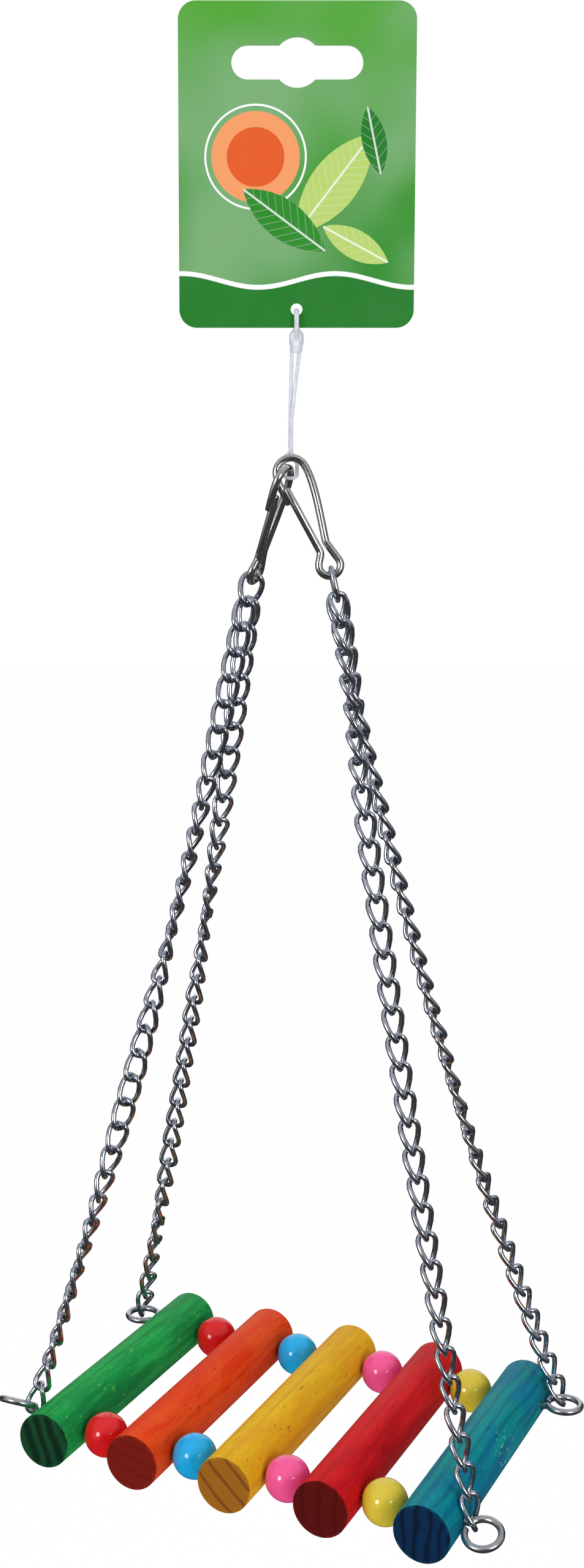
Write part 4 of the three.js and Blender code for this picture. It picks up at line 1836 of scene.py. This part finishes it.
@dataclass
class Chains:
    """Two top links in the hooks' eyes, and four curb chains down to the ladder's eyes."""

    wire: float = 1.5
    twist: float = -45.0
    weld: float = 0.1
    links: int = 33
    link: LinkMake = LinkMake(half_width=2.5, wire=1.41, power=0.66, steps=22, sides=8)
    top_length: float = 7.0
    top_link: LinkMake = LinkMake(half_width=2.9, wire=1.5, power=0.72, steps=40, sides=14)
    first_offset: float = 1.3
    seat_gap: float = 0.3
    trace_steps: int = 400
    sharp: float = 80.0

    TOP_TWIST = {Side.LEFT: -45.0, Side.RIGHT: 0.0}
    LAY = {
        Corner.FRONT_LEFT: ChainLay((28, 35, 42, 66, 90, 100, 109, 137, 165, 190, 215, 242, 270,
                                     286, 298, 304, 345), 0.055),
        Corner.FRONT_RIGHT: ChainLay((56, 80, 36, 32, 35, 38, 42, 46, 50), 0.045),
        Corner.BACK_LEFT: ChainLay((30, 38, 65, 107, 147, 150, 160, 108, 75), 0.035),
        Corner.BACK_RIGHT: ChainLay((8, 88, 104, 103, 98, 86, 66, 52, 40), 0.08),
    }

    @staticmethod
    def link_tree() -> bpy.types.NodeTree:
        """Build the tree that sets a twisted link of round wire on every point.

        Returns:
            The tree. Its sizes are metres and radians, and its points carry the attributes link_up
            and link_way.
        """
        build = GroupBuilder(
            "curb_links",
            Tree.GEOMETRY,
            {
                "Geometry": (Socket.GEOMETRY, None),
                "Half Length": (Socket.VALUE, 0.0043),
                "Half Width": (Socket.VALUE, 0.0025),
                "Wire": (Socket.VALUE, 0.0015),
                "Twist": (Socket.VALUE, -0.785),
                "Power": (Socket.VALUE, 0.7),
                "Steps": (Socket.COUNT, 24),
                "Sides": (Socket.COUNT, 8),
                "Material": (Socket.MATERIAL, None),
            },
            {"Geometry": Socket.GEOMETRY},
        )
        g, given = build.graph, build.given

        ring = g.add("GeometryNodeCurvePrimitiveCircle", mode="RADIUS")
        g.feed(ring.inputs["Resolution"], given["Steps"])
        g.feed(ring.inputs["Radius"], 1.0)
        x, y, _ = g.parts(g.add("GeometryNodeInputPosition").outputs[0])

        def swelled(value: bpy.types.NodeSocket, size: Feed) -> bpy.types.NodeSocket:
            """Swell one direction of the ring towards a rounded box of a size."""
            level = g.math("POWER", g.math("ABSOLUTE", value), given["Power"])
            return g.math("MULTIPLY", g.math("MULTIPLY", level, g.math("SIGN", value)), size)

        long_way = swelled(y, given["Half Length"])
        share = g.math("DIVIDE", long_way, given["Half Length"])
        bend = g.add("ShaderNodeVectorRotate", rotation_type="Z_AXIS")
        g.feed(bend.inputs["Vector"], g.vec(swelled(x, given["Half Width"]), 0.0, long_way))
        g.feed(bend.inputs["Angle"], g.math("MULTIPLY", given["Twist"], share))
        shape = g.add("GeometryNodeSetPosition")
        g.feed(shape.inputs["Geometry"], ring.outputs[0])
        g.feed(shape.inputs["Position"], bend.outputs[0])
        section = g.add("GeometryNodeCurvePrimitiveCircle", mode="RADIUS")
        g.feed(section.inputs["Resolution"], given["Sides"])
        g.feed(section.inputs["Radius"], g.math("MULTIPLY", given["Wire"], 0.5))
        skin = g.add("GeometryNodeCurveToMesh")
        g.feed(skin.inputs["Curve"], shape.outputs[0])
        g.feed(skin.inputs["Profile Curve"], section.outputs[0])

        axes = g.add("FunctionNodeAxesToRotation", primary_axis="Z", secondary_axis="X")
        for socket, label in zip(axes.inputs[:2], ("link_up", "link_way")):
            named = g.add("GeometryNodeInputNamedAttribute", data_type="FLOAT_VECTOR")
            named.inputs["Name"].default_value = label
            g.feed(socket, named.outputs[0])
        hang = g.add("GeometryNodeInstanceOnPoints")
        g.feed(hang.inputs["Points"], given["Geometry"])
        g.feed(hang.inputs["Instance"], skin.outputs[0])
        g.feed(hang.inputs["Rotation"], axes.outputs[0])
        real = g.add("GeometryNodeRealizeInstances")
        g.feed(real.inputs[0], hang.outputs[0])
        smooth = g.add("GeometryNodeSetShadeSmooth")
        g.feed(smooth.inputs[0], real.outputs[0])
        dress = g.add("GeometryNodeSetMaterial")
        g.feed(dress.inputs["Geometry"], smooth.outputs[0])
        g.feed(dress.inputs["Material"], given["Material"])
        build.put("Geometry", dress.outputs[0])
        return build.tree

    def hung(self, name: str, tree: bpy.types.NodeTree, places: Sequence[LinkPlace],
             inner: float, twist: float, make: LinkMake,
             material: bpy.types.Material) -> bpy.types.Object:
        """Hang links on a list of places and make them one plain mesh.

        Args:
            name: Name of the piece.
            tree: The tree of the links.
            places: Where the links are, in millimetres.
            inner: Inner length of a link.
            twist: How far each of its ends is twisted, in degrees.
            make: How the links are made.
            material: Their material.

        Returns:
            The piece.
        """
        sizes = {"Half Length": (inner + self.wire) / 2 * MM, "Half Width": make.half_width * MM,
                 "Wire": make.wire * MM, "Twist": math.radians(twist), "Power": make.power,
                 "Steps": make.steps, "Sides": make.sides, "Material": material}
        mesh = bpy.data.meshes.new(name)
        mesh.from_pydata([p.middle * MM for p in places], [], [])
        for label, ways in (("link_up", [p.up for p in places]),
                            ("link_way", [p.way for p in places])):
            layer = mesh.attributes.new(label, "FLOAT_VECTOR", "POINT")
            layer.data.foreach_set("vector", [c for way in ways for c in way])
        obj = linked(name, mesh)
        modifier = obj.modifiers.new("links", "NODES")
        modifier.node_group = tree
        for item in tree.interface.items_tree:
            if item.in_out == "INPUT" and item.name in sizes:
                modifier[item.identifier] = sizes[item.name]
        bake(obj)
        finish_mesh(obj.data, self.sharp)
        return obj

    def top_place(self, hooks: SnapHooks, ladder: Ladder,
                  side: Side) -> tuple[LinkPlace, Vector, Vector]:
        """Place the top link of one hook.

        Args:
            hooks: The hooks.
            ladder: The ladder below.
            side: Which hook.

        Returns:
            The link's place, the point inside its lower bend, and the direction of its wire there.
        """
        eye, eye_along = hooks.eye_bottom(side)
        seats = [ladder.eye_seat(corner) for corner in Corner if corner.hook is side]
        aim = (seats[0] + seats[1]) / 2
        aim.z = ladder.height
        down = (aim - eye).normalized()
        twist = turn_about(-down, -self.TOP_TWIST[side])
        way = twist @ eye_along.cross(down).normalized()
        inner_top = eye - down * (hooks.wire / 2 + self.seat_gap)
        place = LinkPlace(inner_top + down * self.top_length / 2, -down, way)
        return place, inner_top + down * self.top_length, twist @ way

    def seams(self, top: Vector, bottom: Vector, down: Vector,
              sag_share: float) -> tuple[list[Vector], float]:
        """Cut a sagging line into equal steps, one for each link.

        Args:
            top: Its upper end.
            bottom: Its lower end.
            down: The direction of its pull.
            sag_share: Its sag, as a share of how far it leans.

        Returns:
            The points between the steps, both ends included, and the line's length.
        """
        span, fine = bottom - top, self.trace_steps
        sag_way = -(UP - down * UP.dot(down)).normalized()
        sag = sag_share * math.hypot(span.x, span.y)
        trace = [top.lerp(bottom, i / fine) + sag_way * (4 * sag * (i / fine) * (1 - i / fine))
                 for i in range(fine + 1)]
        reach = [0.0]
        for before, after in zip(trace, trace[1:]):
            reach.append(reach[-1] + (after - before).length)
        points, k = [], 0
        for i in range(self.links + 1):
            goal = reach[-1] * i / self.links
            while k < fine - 1 and reach[k + 1] < goal:
                k += 1
            share = (goal - reach[k]) / (reach[k + 1] - reach[k])
            points.append(trace[k].lerp(trace[k + 1], share))
        return points, reach[-1]

    def run_places(self, ladder: Ladder, corner: Corner, start: Vector,
                   along: Vector) -> tuple[list[LinkPlace], float]:
        """Place the links of one chain.

        Args:
            ladder: The ladder below.
            corner: The corner that the chain goes to.
            start: The point inside the top link's lower bend.
            along: The direction of the top link's wire there.

        Returns:
            The places of the links, and the inner length of a link.
        """
        foot = ladder.eye_seat(corner) + UP * ladder.height
        flat = foot - start
        flat.z = 0.0
        first = start + along * math.copysign(self.first_offset, along.dot(flat))
        down = (foot - first).normalized()
        top = first - down * self.seat_gap
        bottom = foot + down * (ladder.wire / 2 + self.seat_gap)
        lay = self.LAY[corner]
        seams, length = self.seams(top, bottom, down, lay.sag)
        inner = (length + self.weld) / self.links - self.weld
        square = along.cross(down).normalized()
        places = []
        for i, (upper, lower) in enumerate(zip(seams, seams[1:])):
            way_down = (lower - upper).normalized()
            level = (square - way_down * square.dot(way_down)).normalized()
            turn = turn_about(-way_down, lay.roll(i / (self.links - 1)))
            places.append(LinkPlace(upper + way_down * inner / 2, -way_down, turn @ level))
        return places, inner

    def build(self, effects: Effects, finish: Metal, hooks: SnapHooks, ladder: Ladder) -> None:
        """Hang the top links and the chains and dress them.

        Args:
            effects: The shared groups.
            finish: Their metal.
            hooks: The hooks above.
            ladder: The ladder below.
        """
        material = finish.material(effects)
        tree = self.link_tree()
        tops: dict[Side, tuple[Vector, Vector]] = {}
        for side in Side:
            place, start, along = self.top_place(hooks, ladder, side)
            tops[side] = (start, along)
            obj = self.hung(f"ring_{side.value}", tree, [place], self.top_length,
                            self.TOP_TWIST[side], self.top_link, material)
            seat(obj, f"top_link_{side.value}", "ladder")
        for corner in Corner:
            places, inner = self.run_places(ladder, corner, *tops[corner.hook])
            obj = self.hung(f"links_{corner.label}", tree, places, inner, self.twist, self.link,
                            material)
            seat(obj, f"chain_{corner.label}", "ladder")


@dataclass(frozen=True)
class Lamp:
    """A round soft lamp that faces the bridge, in metres and watts.

    Its direction is 0 towards the camera and positive to the right. Polished surfaces show it only
    where it is mirrored.
    """

    name: str
    azimuth: float
    elevation: float
    size: float
    power: float
    distance: float
    mirrored: bool = True

    def hang(self, middle: Vector) -> None:
        """Hang the lamp.

        Args:
            middle: The point that it faces.
        """
        data = bpy.data.lights.new(self.name, "AREA")
        data.shape = "DISK"
        data.size = self.size
        data.energy = self.power
        a, e = math.radians(self.azimuth), math.radians(self.elevation)
        way = Vector((math.sin(a) * math.cos(e), -math.cos(a) * math.cos(e), math.sin(e)))
        obj = linked(self.name, data)
        obj.location = middle + way * self.distance
        obj.rotation_euler = way.to_track_quat("Z", "Y").to_euler()
        obj.visible_glossy = self.mirrored


@dataclass(frozen=True)
class PaintedReflectionFlag:
    """How brightly a flag glows in polished surfaces, as a painted reflection, from 0 to 1.

    It fades from its middle's level to the left's, the right's and the top's. The pairs say where a
    fade starts and ends, in millimetres.
    """

    left: float
    middle: float
    right: float
    top: float = 0.6
    left_fade: Pair = (-500.0, -1500.0)
    right_fade: Pair = (700.0, 1900.0)
    back_fade: Pair = (-100.0, 900.0)
    top_fade: Pair = (300.0, 2000.0)

    def material(self, name: str) -> bpy.types.Material:
        """Build the material.

        Args:
            name: Name of the flag.

        Returns:
            The material.
        """
        m = MaterialGraph(name)
        x, y, z = m.parts(m.place())
        levels = (self.left, self.middle, self.right, self.top)
        left, middle, right, top = ((level, level, level, 1.0) for level in levels)
        # Emitted shade, a painted reflection: dark in the middle, brighter to the sides and top.
        shade = m.mix(m.ease(x, *self.left_fade), middle, left)
        shade = m.mix(m.ease(x, *self.right_fade), shade, right)
        shade = m.mix(m.ease(y, *self.back_fade), shade, middle)
        shade = m.mix(m.ease(z, *self.top_fade), shade, top)
        m.set(Base_Color=BLACK, Roughness=1.0, Emission_Color=shade, Emission_Strength=1.0)
        return m.material


@dataclass
class Studio:
    """Pale floor, white surroundings, flags, soft lamps and the camera; sizes are metres.

    The lamps hang beside the camera, above and behind the bridge. Flags are painted reflections.
    """

    camera_place: Triple = (-0.0110, -0.4831, -0.12095)
    camera_pitch: float = 8.07
    focal_pixels: float = 2998.0
    middle_offset: float = 62.7
    sensor: float = 36.0
    clip: Pair = (0.01, 50.0)
    floor_z: float = -0.62
    floor_reach: float = 6.0
    floor_tints: tuple[Colour, Colour] = (srgb(244, 244, 244), srgb(250, 250, 250))
    floor_grain: float = 0.004
    floor_roughness: float = 0.9
    floor_glow: float = 0.975
    fill: float = 0.42
    room_radius: float = 2.3
    room_top: float = 2.0
    room_opens_at: float = 150.0
    room_steps: int = 48
    cloth_above_floor: float = 0.015

    BRIDGE_MIDDLE = Vector((0.0, 0.0, -0.25))
    LAMPS = (
        Lamp("soft_lamp_left", -46.0, 16.0, 0.42, 5.4, 1.25),
        Lamp("soft_lamp_right", 31.0, 15.0, 0.42, 5.4, 1.25),
        Lamp("soft_lamp_top", 0.0, 88.0, 1.5, 8.0, 1.5, mirrored=False),
        Lamp("soft_lamp_back", 180.0, 42.0, 0.9, 5.0, 1.25, mirrored=False),
    )
    WALL = PaintedReflectionFlag(0.55, 0.012, 0.36)
    CEILING = PaintedReflectionFlag(0.6, 0.6, 0.6)
    CLOTH = PaintedReflectionFlag(0.05, 0.04, 0.08)

    def camera(self) -> None:
        """Set the camera where the photograph was taken from."""
        data = bpy.data.cameras.new("photo_camera")
        data.sensor_fit = "AUTO"
        data.sensor_width = self.sensor
        data.lens = self.sensor * self.focal_pixels / PHOTO_HEIGHT
        data.shift_x = self.middle_offset / PHOTO_HEIGHT
        data.clip_start, data.clip_end = self.clip
        obj = linked("photo_camera", data)
        obj.location = self.camera_place
        obj.rotation_euler = (math.radians(90 - self.camera_pitch), 0.0, 0.0)
        bpy.context.scene.camera = obj

    def surroundings(self) -> None:
        """Make the world white to the eye and in reflections, and a soft fill for the rest."""
        world = bpy.data.worlds.new("white_room")
        world.use_nodes = True
        bpy.context.scene.world = world
        g = Graph(world.node_tree)
        back = next(n for n in world.node_tree.nodes if n.type == "BACKGROUND")
        back.inputs["Color"].default_value = WHITE
        g.feed(back.inputs["Strength"], g.ease(g.seen(), 0.0, 1.0, self.fill, 1.0))

    @staticmethod
    def staged(name: str, verts: Sequence[Vector], faces: Sequence[Face],
               material: bpy.types.Material) -> bpy.types.Object:
        """Set up one piece of the studio.

        Args:
            name: Name of the piece.
            verts: Its points in metres.
            faces: Its faces.
            material: Its material.

        Returns:
            The piece.
        """
        mesh = bpy.data.meshes.new(name)
        mesh.from_pydata(verts, [], faces)
        mesh.materials.append(material)
        obj = linked(name, mesh)
        return obj

    def floor(self) -> None:
        """Lay the pale floor, which shows white and keeps the shadow."""
        m = MaterialGraph("studio_floor")
        tint = m.noise(m.place(), self.floor_grain)
        m.set(Base_Color=m.mix(tint, *self.floor_tints), Roughness=self.floor_roughness)
        glow = m.add("ShaderNodeEmission")
        glow.inputs["Color"].default_value = WHITE
        blend = m.add("ShaderNodeMixShader")
        m.feed_all(blend.inputs, (m.math("MULTIPLY", m.seen(), self.floor_glow),
                                  m.shader.outputs[0], glow.outputs[0]))
        out = next(n for n in m.tree.nodes if n.type == "OUTPUT_MATERIAL")
        m.feed(out.inputs["Surface"], blend.outputs[0])
        r, z = self.floor_reach, self.floor_z
        corners = [Vector((x, y, z)) for x, y in ((-r, -r), (r, -r), (r, r), (-r, r))]
        self.staged("studio_floor", corners, [(0, 1, 2, 3)], m.material)

    def flag(self, name: str, verts: Sequence[Vector], faces: Sequence[Face],
             cloth: PaintedReflectionFlag) -> None:
        """Hang a glowing flag that only polished surfaces see, a painted reflection.

        Args:
            name: Name of the flag.
            verts: Its points in metres.
            faces: Its faces.
            cloth: How bright it shows.
        """
        obj = self.staged(name, verts, faces, cloth.material(name))
        obj.visible_camera = False
        obj.visible_diffuse = False
        obj.visible_transmission = False
        obj.visible_shadow = False

    def flags(self) -> None:
        """Paint reflections: a dark wall round the camera, a bright ceiling and a dark cloth below.

        The wall is open behind the bridge, where the white surroundings show.
        """
        # Each flag glows only for polished surfaces: painted reflections, dark and bright.
        radius, steps, opens_at = self.room_radius, self.room_steps, self.room_opens_at
        low, high = self.floor_z + self.cloth_above_floor, self.room_top
        turns = [math.radians(-opens_at + 2 * opens_at * k / steps) for k in range(steps + 1)]
        wall = [Vector((radius * math.sin(a), -radius * math.cos(a), z))
                for z in (low, high) for a in turns]
        faces = [(k, k + 1, k + steps + 2, k + steps + 1) for k in range(steps)]
        self.flag("painted_reflection_wall", wall, faces, self.WALL)
        ring = [math.radians(360 * k / steps) for k in range(steps)]
        for name, z, cloth in (("painted_reflection_ceiling", high, self.CEILING),
                               ("painted_reflection_cloth", low, self.CLOTH)):
            disc = [Vector((radius * math.sin(a), -radius * math.cos(a), z)) for a in ring]
            self.flag(name, disc, [tuple(range(steps))], cloth)

    def build(self) -> None:
        """Set up the whole studio."""
        bpy.context.scene.view_settings.view_transform = "Standard"
        self.camera()
        self.surroundings()
        self.floor()
        self.flags()
        for lamp in self.LAMPS:
            lamp.hang(self.BRIDGE_MIDDLE)


def main() -> None:
    """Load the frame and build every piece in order."""
    logging.basicConfig(level=logging.INFO, format="%(name)s: %(message)s")
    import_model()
    Studio().build()
    effects, finishes = Effects(), Finishes()
    hooks, ladder = SnapHooks(), Ladder()
    HeaderCard().build(effects, finishes.card)
    TagLoop().build(effects, finishes.loop, hooks)
    hooks.build(effects, finishes.hook)
    ladder.build(effects, finishes.ladder_wire)
    Chains().build(effects, finishes.chain, hooks, ladder)


if __name__ == "__main__":
    main()
